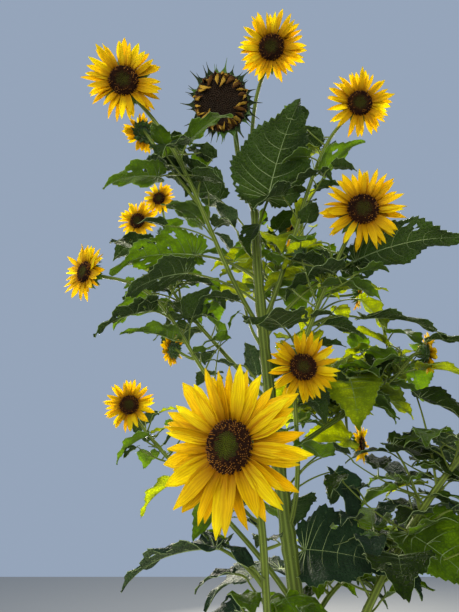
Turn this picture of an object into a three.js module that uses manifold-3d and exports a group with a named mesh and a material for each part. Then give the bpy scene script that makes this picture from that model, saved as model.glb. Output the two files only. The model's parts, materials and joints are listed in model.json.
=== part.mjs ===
// A branching garden sunflower, rooted in level ground, in millimetres with Z up.
// The origin is where the middle of the main stem meets the ground, and the side that is
// usually looked at faces -Y.
import * as THREE from 'three';
import { mergeVertices } from 'three/addons/utils/BufferGeometryUtils.js';
import Module from 'manifold-3d';

const wasm = await Module();
wasm.setup();

// Driving dimensions, in millimetres and degrees
const clearance = 0.35;
const goldenTurn = 137.5;
const mostNodes = 59;
const mainStem = {
  foot: [0, 0, 0],
  lowBend: [0, 0, 600],
  highBend: [-130, 0, 1190],
  top: [-135, 0, 1780],
  footRadius: 21,
  topRadius: 10,
  flareRadius: 10,
  flareHeight: 60,
  sides: 10,
  steps: 16,
};
const blade = {
  thick: 0.026,
  thickAt: [0.36, 0.7],
  fold: 0.16,
  arch: 0.07,
  rim: [[-0.1, 0.34], [0.04, 0.82], [0.28, 1], [0.58, 0.7], [0.82, 0.34]],
};
const petiole = { perLength: 0.017, least: 1.7, foot: 1.2, taper: 0.45, bendAt: 0.5, bendRise: 18 };
const neckShape = { radius: 5.5, straight: 14, reach: 46, leave: 0.6, arrive: 1.4, seat: 0.8 };
const sideHead = { rise: new THREE.Vector3(0, 0, 0.4), radius: 3.6, bendAt: 0.5 };
const bloom = {
  backShare: 0.17,
  waist: [0.9, 0.45],
  shortest: 0.92,
  shoulderLean: 0.7,
  open: { disc: 0.19, dome: 0.05, notch: 0.3, shoulder: 0.6, spread: 0.4, lean: 0.035, cup: 0.02 },
  spent: { disc: 0.34, dome: 0.06, notch: 0.38, shoulder: 0.3, spread: 0.2, lean: 0.05, cup: -0.06 },
};

// Sides round and steps along each kind of tube, and steps along each kind of leaf stalk
const facets = { bough: [7, 4], upper: [6, 6], neck: [6, 3], sideStem: [5, 4] };
const stalkSteps = { great: 4, named: 3, ruled: 2 };

// The limbs. Each leaves the main stem at the height "from", bends towards two points, and ends
// at the middle of its flower's disc. Facing is the flower's heading and rise. Leaves are named
// by where they sit along the limb, then length, heading and rise of the stalk and of the blade,
// the blade's width as a share of its length, and its roll.
const limbs = [
  {
    name: 'left_high', from: 1460, bends: [[-240, -80, 1610], [-270, -200, 1780]], tip: [-420, -270, 1930],
    radii: [5.8, 4], split: 0.28, facing: [-85, -20], flower: 162, petals: 16, seed: 11, extra: 3, size: 105,
    leaves: [
      [0.66, 65, 165, 10, 130, -165, -20, 0.85, 0],
      [0.71, 75, 35, 75, 110, -20, 25, 0.8, 20],
      [0.6, 60, 180, 60, 60, -150, 15, 0.8, 0],
      [0.46, 100, 95, 75, 95, -130, 40, 0.85, 0],
      [0.56, 115, 10, 75, 70, -150, 5, 0.8, 0],
      [0.32, 100, 180, 60, 105, -150, 15, 0.95, 0],
      [0.39, 120, -170, 15, 65, -145, -10, 0.6, 0],
      [0.5, 90, 175, 55, 60, 175, 40, 0.7, 0],
      [0.66, 60, 100, 60, 60, -165, 25, 0.9, 0],
    ],
    side: [{ at: 0.52, tip: [-400, -150, 1895], facing: [115, 10], flower: 92, petals: 10 }],
  },
  {
    name: 'upper', from: 1772, bends: [[-190, -60, 1890], [-180, -100, 1940]], tip: [-220, -160, 1975],
    radii: [7, 6], split: 1, facing: [-100, -35], flower: 172, petals: 16, spent: true,
  },
  {
    name: 'top', from: 1775, bends: [[-150, -60, 1900], [-150, -130, 2010]], tip: [-100, -190, 2110],
    radii: [5.5, 4.2], split: 1, facing: [-100, -25], flower: 160, petals: 16,
  },
  {
    name: 'right_high', from: 1478, bends: [[-40, -40, 1650], [-10, -100, 1880]], tip: [120, -120, 2010],
    radii: [6, 4], split: 0.3, facing: [-92, -18], flower: 160, petals: 16, seed: 14, extra: 3, size: 115,
    leaves: [
      [0.74, 45, 110, 65, 80, -150, 30, 0.95, 0],
      [0.62, 45, 10, 40, 115, -30, 30, 0.75, 0],
      [0.66, 140, -170, 70, 55, -145, 60, 0.9, 0],
    ],
  },
  {
    name: 'right_middle', from: 1215, bends: [[-70, -20, 1350], [0, -90, 1530]], tip: [80, -180, 1680],
    radii: [6.4, 4.4], split: 0.3, facing: [-95, -10], flower: 172, petals: 16, seed: 15, extra: 4, size: 140,
    leaves: [
      [0.7, 200, 100, 60, 150, -40, 75, 0.85, 30],
      [0.78, 50, 105, 40, 65, -155, 50, 1, 0],
      [0.62, 115, 50, 35, 125, -10, 0, 0.55, 0],
      [0.54, 195, 35, 15, 195, -10, -15, 0.6, 10],
      [0.57, 215, 40, 25, 125, 5, -60, 0.6, 0],
    ],
  },
  {
    name: 'centre', from: 1040, bends: [[-45, -40, 1130], [-70, -70, 1270]], tip: [-50, -105, 1360],
    radii: [5.6, 4.2], split: 0.25, facing: [-87, 2], flower: 146, petals: 16, seed: 16, extra: 2, size: 120,
    leaves: [[0.35, 65, 5, 35, 110, -130, 15, 0.7, 0]],
  },
  {
    name: 'front', from: 620, bends: [[-170, -120, 820], [-130, -270, 1010]], tip: [-200, -390, 1204],
    radii: [7, 5.3], split: 0.4, facing: [-120, 5], flower: 214, petals: 18, seed: 17, extra: 2, size: 130,
    leaves: [
      [0.63, 115, 70, -10, 105, -65, -35, 0.9, 0],
      [0.67, 90, 160, 35, 190, 160, -20, 0.55, 0],
      [0.69, 105, 130, 20, 65, 145, 15, 0.6, 0],
    ],
  },
  {
    name: 'left_low', from: 900, bends: [[-160, 60, 1040], [-350, 130, 1160]], tip: [-460, 170, 1310],
    radii: [5.8, 4], split: 0.35, facing: [-82, 4], flower: 130, petals: 14, seed: 18, extra: 7, size: 130,
    leaves: [],
  },
  {
    name: 'left_middle', from: 1240, bends: [[-310, 60, 1320], [-300, 50, 1580]], tip: [-560, 20, 1620],
    radii: [5.8, 4], split: 0.25, facing: [-128, -4], flower: 142, petals: 16, seed: 19, extra: 3, size: 100,
    leaves: [
      [0.62, 60, -165, 25, 155, -155, -30, 0.7, 0],
      [0.48, 80, 70, 80, 90, -30, 55, 1, 0],
      [0.5, 35, 165, 15, 140, -145, 0, 0.65, 0],
      [0.35, 105, 30, 55, 75, -150, -15, 0.7, 0],
      [0.28, 140, 75, 65, 70, -155, 55, 0.8, 0],
    ],
    side: [{ at: 0.42, tip: [-345, 95, 1440], facing: [150, 5], flower: 84, petals: 10 }],
  },
  {
    name: 'right_low', from: 650, bends: [[0, 60, 800], [180, 50, 1060]], tip: [390, -50, 1260],
    radii: [9.5, 6], split: 0.4, facing: [-60, -8], flower: 140, petals: 14, seed: 20, extra: 6, size: 170,
    leaves: [
      [0.6, 45, -10, 60, 190, -42, -35, 0.95, 25],
      [0.72, 150, 130, 70, 165, -30, -28, 0.7, 25],
      [0.8, 205, 85, 75, 150, -25, -35, 0.8, 20],
    ],
  },
  {
    name: 'rear_left', from: 1290, bends: [[-210, 150, 1450], [-390, 190, 1610]], tip: [-470, 160, 1840],
    radii: [6.2, 4], split: 0.35, facing: [-105, -8], flower: 122, petals: 12, fused: true,
    seed: 21, extra: 9, size: 150, leaves: [],
    side: [{ at: 0.6, tip: [-430, 265, 1980], facing: [-100, -10], flower: 108, petals: 10 }],
  },
  {
    name: 'rear_right', from: 1165, bends: [[0, 170, 1250], [180, 180, 1310]], tip: [320, 140, 1440],
    radii: [6.6, 4], split: 0.35, facing: [-8, -4], flower: 112, petals: 12, fused: true,
    seed: 22, extra: 13, size: 180, leaves: [],
    side: [{ at: 0.52, tip: [160, 265, 1215], facing: [-35, 0], flower: 100, petals: 10 }],
  },
  {
    name: 'rear_high', from: 1400, bends: [[-100, 110, 1560], [-50, 190, 1680]], tip: [-20, 150, 1800],
    radii: [6, 4], split: 0.35, facing: [-20, -10], flower: 108, petals: 12, fused: true,
    seed: 23, extra: 11, size: 150, leaves: [],
    side: [{ at: 0.5, tip: [170, 190, 1620], facing: [-8, -12], flower: 96, petals: 10 }],
  },
  {
    name: 'rear_low', from: 800, bends: [[-30, 200, 880], [160, 260, 930]], tip: [290, 220, 1020],
    radii: [6.4, 4], split: 0.35, facing: [-30, 0], flower: 104, petals: 12, fused: true,
    seed: 24, extra: 9, size: 175, leaves: [],
  },
];

// Small side shoots of the main stem, which carry leaves and no flower
const shoots = [
  {
    name: 'shoot_low', from: 1326, bends: [[-135, 10, 1345], [-150, 15, 1365]], tip: [-165, 15, 1385],
    radii: [4, 2.6],
    leaves: [[0.5, 40, 80, 20, 85, -130, 60, 0.85, 0], [0.95, 35, 180, 5, 65, -150, 5, 0.55, 0]],
  },
  {
    name: 'shoot_middle', from: 1415, bends: [[-145, 0, 1450], [-160, -5, 1490]], tip: [-165, -10, 1530],
    radii: [4, 2.6],
    leaves: [[0.95, 25, 170, 30, 90, -165, 0, 0.6, 0], [0.7, 25, 180, 30, 50, -160, -60, 0.7, 0]],
  },
  {
    name: 'shoot_high', from: 1640, bends: [[-165, -5, 1670], [-175, -10, 1690]], tip: [-180, -15, 1715],
    radii: [4, 2.6],
    leaves: [[0.95, 30, -160, 45, 65, -135, 40, 0.9, 0], [0.4, 40, 170, 5, 55, -160, 45, 0.8, 0]],
  },
];

// The great leaves that sit on the main stem itself, by their height on it
const stemLeaves = [
  [1700, 100, -70, 43, 235, -73, 35, 0.84, 0],
  [1672, 150, -118, 48, 150, -142, 32, 0.8, 15],
  [1440, 280, -12, 40, 255, -12, 9, 0.72, 10],
  [1545, 140, 10, 35, 85, 15, -75, 0.6, 0],
  [1515, 290, 75, 55, 80, 140, 85, 0.8, 0],
  [1630, 100, -88, 50, 110, -125, -60, 0.65, 0],
  [1590, 165, 178, 25, 220, -165, -15, 0.75, 15],
  [1528, 190, -157, 16, 170, -150, -30, 0.75, 15],
  [1009, 70, 60, -10, 190, -28, -5, 0.88, 50],
  [1098, 135, 15, 25, 110, -50, -70, 0.9, 0],
  [1110, 265, 38, 25, 120, -170, 5, 0.95, -40],
];

// The rule for the stem's other leaves: one every "step" up the stem, each a golden turn round
const stemRule = {
  first: 250, step: 98, last: 1700, turn: 60, rise: 25, stalk: 150, stalkLoss: 0.3,
  length: 185, topLength: 120, pitch: -30, width: 0.85, frontHeight: 900, frontSide: 0.1,
};

// The rule for leaves along a limb: a golden turn apart and smaller towards the tip, where each
// pair is a least value and a spread
const limbRule = {
  last: 0.96, place: [0.4, 0.4], turnPerSeed: 40, turn: 40, length: [1.15, -0.45], vary: [0.8, 0.4],
  stalk: 0.62, rise: [20, 30], pitch: [-5, -40], swing: 30, width: 0.82,
};

const radians = THREE.MathUtils.degToRad;
const up = new THREE.Vector3(0, 0, 1);

function seededDraws(seed) {
  let state = seed * 7919 + 17;
  return () => {
    state = (state * 48271) % 2147483647;
    return state / 2147483647;
  };
}

function pointing(heading, rise) {
  const level = Math.cos(radians(rise));
  return new THREE.Vector3(
    level * Math.cos(radians(heading)),
    level * Math.sin(radians(heading)),
    Math.sin(radians(rise)),
  );
}

const vector = ([x, y, z]) => new THREE.Vector3(x, y, z);

// Solids
function solidOf(geometry) {
  geometry.deleteAttribute('normal');
  geometry.deleteAttribute('uv');
  const merged = mergeVertices(geometry, 1e-5);
  const mesh = new wasm.Mesh({
    numProp: 3,
    vertProperties: new Float32Array(merged.getAttribute('position').array),
    triVerts: new Uint32Array(merged.index.array),
  });
  return new wasm.Manifold(mesh);
}

function geometryOf(solid) {
  const mesh = solid.getMesh();
  const geometry = new THREE.BufferGeometry();
  geometry.setAttribute('position', new THREE.BufferAttribute(new Float32Array(mesh.vertProperties), 3));
  geometry.setIndex(new THREE.BufferAttribute(new Uint32Array(mesh.triVerts), 1));
  geometry.computeVertexNormals();
  return geometry;
}

// A tube bent along a curve from one share of its length to another, with a radius by share
function bentTube(curve, start, end, radiusAt, sides, steps) {
  const geometry = new THREE.CylinderGeometry(1, 1, 1, sides, steps);
  const place = geometry.getAttribute('position');
  const side = new THREE.Vector3();
  const across = new THREE.Vector3();
  for (let i = 0; i < place.count; i += 1) {
    const share = start + (end - start) * (place.getY(i) + 0.5);
    const tangent = curve.getTangent(share);
    side.crossVectors(tangent, Math.abs(tangent.y) < 0.9 ? new THREE.Vector3(0, 1, 0) : up).normalize();
    across.crossVectors(side, tangent);
    const radius = radiusAt(share);
    const point = curve.getPoint(share);
    point.addScaledVector(side, place.getX(i) * radius);
    point.addScaledVector(across, place.getZ(i) * radius);
    place.setXYZ(i, point.x, point.y, point.z);
  }
  return solidOf(geometry);
}

// A leaf as its stalk's curve and its blade's foot, tip and sideways direction
function planLeaf(root, row, turn = 0) {
  const [stalk, stalkHeading, stalkRise, length, heading, pitch, width, roll] = row;
  const base = root.clone().addScaledVector(pointing(stalkHeading + turn, stalkRise), stalk);
  const tip = base.clone().addScaledVector(pointing(heading + turn, pitch), length);
  const bend = root.clone()
    .addScaledVector(pointing(stalkHeading + turn, stalkRise + petiole.bendRise), stalk * petiole.bendAt);
  const along = tip.clone().sub(base).normalize();
  const side = new THREE.Vector3().crossVectors(up, pointing(heading + turn, 0));
  side.addScaledVector(along, -side.dot(along)).normalize().applyAxisAngle(along, radians(roll));
  return { curve: new THREE.QuadraticBezierCurve3(root, bend, base), base, tip, along, side, width, length };
}

// One closed body: a three-sided stalk that opens into a heart-shaped blade, which is folded
// along its midrib, arched from foot to tip and thickest in the middle
function makeLeaf(plan, steps) {
  const { curve, base, along, side, length } = plan;
  const normal = new THREE.Vector3().crossVectors(along, side);
  const radius = Math.max(petiole.least, length * petiole.perLength);
  const points = [];
  for (let step = 0; step <= steps; step += 1) {
    const share = step / steps;
    const tangent = curve.getTangent(share);
    const across = side.clone().addScaledVector(tangent, -side.dot(tangent)).normalize();
    const over = new THREE.Vector3().crossVectors(tangent, across);
    const size = radius * (petiole.foot - petiole.taper * share);
    const middle = curve.getPoint(share);
    [[1, 0.5], [-1, 0.5], [0, -1.1]].forEach(([out, rise]) => points.push(
      middle.clone().addScaledVector(across, out * size).addScaledVector(over, rise * size),
    ));
  }
  const halfWidth = plan.width * length * 0.5;
  const at = (share, out, lift) => base.clone()
    .addScaledVector(along, share * length)
    .addScaledVector(side, out * halfWidth)
    .addScaledVector(normal, lift * length + blade.fold * Math.abs(out) * halfWidth
      + 4 * blade.arch * length * Math.max(share, 0) * (1 - share));
  const left = 3 * steps;
  const [right, low] = [left + 1, left + 2];
  const tip = points.length;
  const [topMiddle, topFar, lowMiddle, lowFar] = [1, 2, 3, 4].map((k) => tip + k);
  const [thickest, thinning] = blade.thickAt;
  points.push(at(1, 0, 0), at(thickest, 0, blade.thick / 2), at(thinning, 0, blade.thick / 3));
  points.push(at(thickest, 0, -blade.thick / 2), at(thinning, 0, -blade.thick / 3));
  blade.rim.forEach(([share, out]) => points.push(at(share, out, 0)));
  blade.rim.forEach(([share, out]) => points.push(at(share, -out, 0)));
  const faces = [0, 2, 1];
  for (let k = 0; k < left; k += 3) {
    faces.push(k, k + 1, k + 3, k + 1, k + 4, k + 3);
    faces.push(k + 1, k + 2, k + 4, k + 2, k + 5, k + 4);
    faces.push(k + 2, k, k + 5, k, k + 3, k + 5);
  }
  const halfFan = (foot, first, middle, far, flip) => {
    const fan = [
      [foot, first + 1, first], [foot, middle, first + 1], [first + 1, middle, first + 2],
      [first + 2, middle, first + 3], [middle, far, first + 3], [far, first + 4, first + 3],
      [far, tip, first + 4],
    ];
    fan.forEach(([a, b, c]) => faces.push(...(flip ? [a, c, b] : [a, b, c])));
  };
  const leftRim = tip + 5;
  const rightRim = leftRim + blade.rim.length;
  halfFan(left, leftRim, topMiddle, topFar, false);
  halfFan(low, leftRim, lowMiddle, lowFar, true);
  halfFan(right, rightRim, topMiddle, topFar, true);
  halfFan(low, rightRim, lowMiddle, lowFar, false);
  faces.push(left, right, topMiddle, left, leftRim, low, right, low, rightRim);
  const geometry = new THREE.BufferGeometry().setFromPoints(points);
  geometry.setIndex(faces);
  return solidOf(geometry);
}

// A flower head's own directions, from the middle of its disc
function flowerFrame(centre, facing) {
  const forward = pointing(...facing);
  const side = new THREE.Vector3().crossVectors(up, forward).normalize();
  const rise = new THREE.Vector3().crossVectors(forward, side);
  return { centre, forward, side, rise };
}

// One closed body: a domed disc, a tapered back, and a toothed ring of petals or bracts. Each
// petal has a notch, two shoulders and a tip, and every second one leans the other way.
function makeHead(limb, centre) {
  const frame = flowerFrame(centre, limb.facing);
  const size = limb.flower;
  const shape = limb.spent ? bloom.spent : bloom.open;
  const count = limb.petals;
  const [waistOut, waistBack] = bloom.waist;
  const draw = seededDraws(size);
  const at = (angle, out, forward) => centre.clone()
    .addScaledVector(frame.side, Math.cos(angle) * out * size)
    .addScaledVector(frame.rise, Math.sin(angle) * out * size)
    .addScaledVector(frame.forward, forward * size);
  const points = [at(0, 0, shape.dome), at(0, 0, -bloom.backShare)];
  for (let i = 0; i < count; i += 1) {
    const angleOf = (step) => (2 * Math.PI * (i + step)) / count;
    const lean = (i % 2 ? shape.lean : -shape.lean) + shape.cup;
    const reach = 0.5 * (bloom.shortest + (1 - bloom.shortest) * draw());
    const shoulder = shape.disc + (reach - shape.disc) * shape.shoulder;
    points.push(
      at(angleOf(0), shape.disc, shape.dome * 0.5),
      at(angleOf(0), shape.disc * waistOut, -bloom.backShare * waistBack),
      at(angleOf(0), shape.notch, shape.cup * 0.5),
      at(angleOf(0.5 - shape.spread), shoulder, lean * bloom.shoulderLean),
      at(angleOf(0.5), reach, lean),
      at(angleOf(0.5 + shape.spread), shoulder, lean * bloom.shoulderLean),
    );
  }
  const faces = [];
  for (let i = 0; i < count; i += 1) {
    const [front, back, notch, first, tip, last] = [2, 3, 4, 5, 6, 7].map((k) => k + 6 * i);
    const [nextFront, nextBack, nextNotch] = [2, 3, 4].map((k) => k + 6 * ((i + 1) % count));
    faces.push(0, front, nextFront);
    faces.push(front, notch, first, front, first, tip, front, tip, nextFront);
    faces.push(nextFront, tip, last, nextFront, last, nextNotch);
    faces.push(1, nextBack, back);
    faces.push(back, first, notch, back, tip, first, back, nextBack, tip);
    faces.push(nextBack, last, tip, nextBack, nextNotch, last);
  }
  const geometry = new THREE.BufferGeometry().setFromPoints(points);
  geometry.setIndex(faces);
  return solidOf(geometry);
}

// The neck carries a head: it starts along the limb and ends square to the head's back
function neckOf(limb, centre, arriving, bend) {
  const frame = flowerFrame(centre, limb.facing);
  const { straight, reach, leave, arrive, seat } = neckShape;
  const back = centre.clone().addScaledVector(frame.forward, -limb.flower * bloom.backShare * seat);
  const start = back.clone().addScaledVector(frame.forward, -straight).addScaledVector(arriving, -reach);
  const leaving = start.clone().sub(bend).normalize();
  const curve = new THREE.CubicBezierCurve3(
    start,
    start.clone().addScaledVector(leaving, reach * leave),
    back.clone().addScaledVector(frame.forward, -straight * arrive),
    back,
  );
  return { start, curve };
}

// Everything that is placed, so that what comes later keeps clear of it
const placed = [];
const touchVolume = 0.005;
const lowestLeaf = 40;
const plant = new THREE.Group();
plant.name = 'sunflower_plant';

function boxesMeet(a, b) {
  return [0, 1, 2].every((i) => a.min[i] < b.max[i] && b.min[i] < a.max[i]);
}

function touches(solid, except = []) {
  const box = solid.boundingBox();
  return placed.find((other) => !except.includes(other.name) && boxesMeet(box, other.box)
    && solid.intersect(other.wide).volume() > touchVolume);
}

function clearOf(solid) {
  const box = solid.boundingBox();
  const cut = placed.filter((other) => other.keep && boxesMeet(box, other.box))
    .reduce((left, other) => left.subtract(other.wide), solid);
  const parts = cut.decompose();
  return parts.reduce((best, part) => (part.volume() > best.volume() ? part : best));
}

function addNode(name, solid, wide, colours, keep = false) {
  placed.push({ name, wide, box: wide.boundingBox(), keep });
  const mesh = new THREE.Mesh(geometryOf(solid), new THREE.MeshStandardMaterial(colours));
  mesh.name = name;
  plant.add(mesh);
}

const stemFinish = { color: 0x7f9a4a, roughness: 0.75, metalness: 0 };
const leafFinish = { color: 0x3f6a22, roughness: 0.6, metalness: 0 };
const bloomFinish = { color: 0xf2b11d, roughness: 0.6, metalness: 0 };
const spentFinish = { color: 0x5a3d1c, roughness: 0.9, metalness: 0 };

// Main stem: tapered, leaning, flared at the foot and cut flat at the ground
const stemCurve = new THREE.CubicBezierCurve3(
  vector(mainStem.foot), vector(mainStem.lowBend), vector(mainStem.highBend), vector(mainStem.top),
);
function stemRadius(share) {
  const height = stemCurve.getPoint(share).z;
  const flare = mainStem.flareRadius * Math.max(0, 1 - height / mainStem.flareHeight) ** 2;
  return mainStem.footRadius + (mainStem.topRadius - mainStem.footRadius) * share + flare;
}
function stemShareAt(height) {
  let low = 0;
  let high = 1;
  for (let i = 0; i < 40; i += 1) {
    const middle = (low + high) / 2;
    if (stemCurve.getPoint(middle).z < height) low = middle;
    else high = middle;
  }
  return (low + high) / 2;
}
const { sides: stemSides, steps: stemSteps } = mainStem;
const stem = bentTube(stemCurve, 0, 1, stemRadius, stemSides, stemSteps);
const stemWide = bentTube(stemCurve, 0, 1, (share) => stemRadius(share) + clearance, stemSides, stemSteps);
addNode('main_stem', stem, stemWide, stemFinish, true);

// A limb's curve runs from the main stem's middle to the start of its neck
function limbCurve(limb) {
  const root = stemCurve.getPoint(stemShareAt(limb.from));
  const [low, high] = limb.bends.map(vector);
  const tip = vector(limb.tip);
  const arriving = tip.clone().sub(high).normalize();
  const neck = limb.flower ? neckOf(limb, tip, arriving, high) : { start: tip };
  return { curve: new THREE.CubicBezierCurve3(root, low, high, neck.start), tip, neck };
}

// A leaf is tried at a few turns, and left out where each would touch something
const turnsTried = [0, 35, -35, 70, -70];
const crosses = (solid, others) => others.some((other) => other.intersect(solid).volume() > touchVolume);
function fitLeaf(root, row, steps, owners, siblings = []) {
  for (const turn of turnsTried) {
    const leaf = makeLeaf(planLeaf(root, row, turn), steps);
    const high = leaf.boundingBox().min[2] > lowestLeaf;
    if (high && !touches(leaf, owners) && !crosses(leaf, siblings)) return leaf;
  }
  return null;
}

function ruleRow(limb, index, draw) {
  const spread = ([least, range]) => least + range * draw();
  const share = limb.split + (limbRule.last - limb.split) * ((index + spread(limbRule.place)) / limb.extra);
  const heading = goldenTurn * index + limb.seed * limbRule.turnPerSeed + limbRule.turn * draw();
  const [longest, loss] = limbRule.length;
  const length = limb.size * (longest + loss * share) * spread(limbRule.vary);
  const rise = spread(limbRule.rise);
  const pitch = spread(limbRule.pitch);
  const swing = limbRule.swing * (draw() - 0.5);
  return [share, length * limbRule.stalk, heading, rise, length, heading + swing, pitch, limbRule.width, 0];
}

// Leaves along a stem: the named ones first, which may lie over one another, then those by rule
const stemFoot = 0.02;
function leavesOf(limb, owners) {
  const draw = seededDraws(limb.seed);
  const fitted = [];
  const addLeaf = ([share, ...row], steps, siblings) => {
    const root = limb.curve.getPoint(Math.max(share, limb.start + stemFoot));
    const leaf = fitLeaf(root, row, steps, owners, siblings);
    if (leaf) fitted.push(leaf);
  };
  limb.leaves.forEach((row) => addLeaf(row, stalkSteps.named, []));
  for (let i = 0; i < limb.extra; i += 1) addLeaf(ruleRow(limb, i, draw), stalkSteps.ruled, fitted);
  return fitted;
}

// The boughs, each cut clear of the main stem and ending where its leafy part begins
const grown = limbs.map((limb) => ({ ...limb, ...limbCurve(limb) }));
grown.forEach((limb) => {
  const [thick, thin] = limb.radii;
  limb.radiusAt = (share) => thick + (thin - thick) * share;
  limb.bough = `bough_${limb.name}`;
  limb.mass = `foliage_${limb.name}`;
  const [solid, wide] = [0, clearance].map((extra) => bentTube(
    limb.curve, 0, limb.split, (share) => limb.radiusAt(share) + extra, ...facets.bough,
  ));
  addNode(limb.bough, clearOf(solid), wide, stemFinish, true);
  limb.start = limb.split + clearance / limb.curve.getLength();
});

// Flower heads that stand alone, each on its own neck
grown.filter((limb) => !limb.fused).forEach((limb) => {
  const { curve } = limb.neck;
  const [, thin] = limb.radii;
  const gap = clearance / curve.getLength();
  const radiusAt = (share) => thin + (neckShape.radius - thin) * share;
  const solid = bentTube(curve, gap, 1, radiusAt, ...facets.neck).add(makeHead(limb, limb.tip));
  addNode(`flower_${limb.name}`, solid, solid, limb.spent ? spentFinish : bloomFinish);
});

// The upper stems with the heads fused to them, still bare, so that each leaf keeps clear of them
function sideBlossom(limb, head) {
  const root = limb.curve.getPoint(head.at);
  const tip = vector(head.tip);
  const rising = tip.clone().sub(root).normalize().add(sideHead.rise).normalize();
  const { start, curve } = neckOf(head, tip, rising, root);
  const bend = root.clone().lerp(start, sideHead.bendAt);
  const path = new THREE.CubicBezierCurve3(root, bend, start, curve.getPoint(1));
  return bentTube(path, 0, 1, () => sideHead.radius, ...facets.sideStem).add(makeHead(head, tip));
}

const leafy = grown.filter((limb) => limb.split < 1);
leafy.forEach((limb) => {
  limb.bare = clearOf(bentTube(limb.curve, limb.start, 1, limb.radiusAt, ...facets.upper));
  if (limb.fused) {
    const neck = bentTube(limb.neck.curve, 0, 1, () => limb.radii[1], ...facets.neck);
    limb.bare = limb.bare.add(neck).add(makeHead(limb, limb.tip));
  }
  (limb.side || []).forEach((head) => { limb.bare = limb.bare.add(sideBlossom(limb, head)); });
  placed.push({ name: limb.mass, wide: limb.bare, box: limb.bare.boundingBox() });
});

// Great leaves of the main stem
let stemLeafCount = 0;
function addStemLeaf([height, ...row], steps) {
  const leaf = fitLeaf(stemCurve.getPoint(stemShareAt(height)), row, steps, ['main_stem']);
  if (!leaf) return;
  stemLeafCount += 1;
  const solid = leaf.subtract(stemWide);
  addNode(`stem_leaf_${String(stemLeafCount).padStart(2, '0')}`, solid, solid, leafFinish);
}
stemLeaves.forEach((row) => addStemLeaf(row, stalkSteps.great));

shoots.forEach((shoot) => {
  const limb = { ...shoot, ...limbCurve(shoot), start: 0, extra: 0, seed: 0 };
  const [thick, thin] = shoot.radii;
  const bare = bentTube(limb.curve, 0, 1, (share) => thick + (thin - thick) * share, ...facets.upper);
  const solid = clearOf(leavesOf(limb, ['main_stem']).reduce((whole, leaf) => whole.add(leaf), bare));
  addNode(shoot.name, solid, solid, leafFinish);
});

// The masses of foliage: each upper stem with its leaves fused on
leafy.forEach((limb) => {
  const solid = leavesOf(limb, [limb.bough, limb.mass]).reduce((whole, leaf) => whole.add(leaf), limb.bare);
  addNode(limb.mass, solid, solid, leafFinish);
});

// The main stem's other leaves, with none in front of the lit heads
for (let i = 0; stemRule.first + i * stemRule.step < stemRule.last; i += 1) {
  const height = stemRule.first + i * stemRule.step;
  const heading = stemRule.turn + goldenTurn * i;
  const inFront = Math.sin(radians(heading)) < stemRule.frontSide && height > stemRule.frontHeight;
  const share = height / stemRule.last;
  const stalk = stemRule.stalk * (1 - stemRule.stalkLoss * share);
  const length = stemRule.length + (stemRule.topLength - stemRule.length) * share;
  const row = [height, stalk, heading, stemRule.rise, length, heading, stemRule.pitch, stemRule.width, 0];
  if (!inFront && plant.children.length < mostNodes) addStemLeaf(row, stalkSteps.named);
}

export default plant;
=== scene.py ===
import bpy, json, math
import numpy as np
from mathutils import Matrix, Vector

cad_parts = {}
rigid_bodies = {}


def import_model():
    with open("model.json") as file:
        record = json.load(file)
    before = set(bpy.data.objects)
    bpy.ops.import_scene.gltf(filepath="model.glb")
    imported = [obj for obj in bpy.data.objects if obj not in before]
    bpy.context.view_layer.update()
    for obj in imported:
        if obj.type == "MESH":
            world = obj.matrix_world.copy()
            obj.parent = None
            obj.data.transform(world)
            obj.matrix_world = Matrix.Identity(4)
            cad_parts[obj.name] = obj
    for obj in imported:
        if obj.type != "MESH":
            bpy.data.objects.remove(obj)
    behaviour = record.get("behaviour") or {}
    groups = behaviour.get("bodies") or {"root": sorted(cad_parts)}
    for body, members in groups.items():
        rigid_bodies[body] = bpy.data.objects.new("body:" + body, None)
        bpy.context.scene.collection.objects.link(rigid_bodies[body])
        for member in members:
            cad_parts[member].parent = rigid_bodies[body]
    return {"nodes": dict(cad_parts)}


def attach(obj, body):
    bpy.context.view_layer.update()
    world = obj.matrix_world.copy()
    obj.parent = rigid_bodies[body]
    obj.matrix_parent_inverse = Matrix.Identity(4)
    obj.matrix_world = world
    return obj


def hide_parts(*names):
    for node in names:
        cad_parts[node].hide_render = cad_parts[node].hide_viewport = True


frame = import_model()
for name in ("Cube", "Light", "Camera"):
    if name in bpy.data.objects:
        bpy.data.objects.remove(bpy.data.objects[name])
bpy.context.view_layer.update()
nodes = frame["nodes"]
link = bpy.context.scene.collection.objects.link
print("frame loaded:", len(nodes), "solids")

# Lengths below are millimetres and degrees, as in the part's own source, and turn into metres
# when a mesh is made
metres = 0.001
up = np.array([0.0, 0.0, 1.0])


# Growth rule, written again from the part's source

mainStem = {
    "path": [(0, 0, 0), (0, 0, 600), (-130, 0, 1190), (-135, 0, 1780)],
    "footRadius": 21, "topRadius": 10, "flareRadius": 10, "flareHeight": 60,
    "nodeSwell": 0.16, "nodeReach": 11,
}

growth = {
    "clearance": 0.35, "goldenTurn": 137.5, "stemFoot": 0.02, "turnsTried": (0, 35, -35, 70, -70),
    "neckRadius": 5.5, "neckStraight": 14, "neckReach": 46, "neckLeave": 0.6, "neckArrive": 1.4,
    "neckSeat": 0.8, "backShare": 0.17, "sideRise": 0.4, "sideRadius": 3.6, "sideBend": 0.5,
    "stalkArch": 18, "stalkBend": 0.5, "shootRadii": (4, 2.6), "tipNear": 1.5,
}

# Points along each kind of strand, and how finely a path is measured and searched
strandSteps = {"main": 260, "bough": 26, "upper": 34, "neck": 10, "side": 18, "shoot": 10}
pathSearch = {"measured": 201, "halvings": 40}

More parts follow.
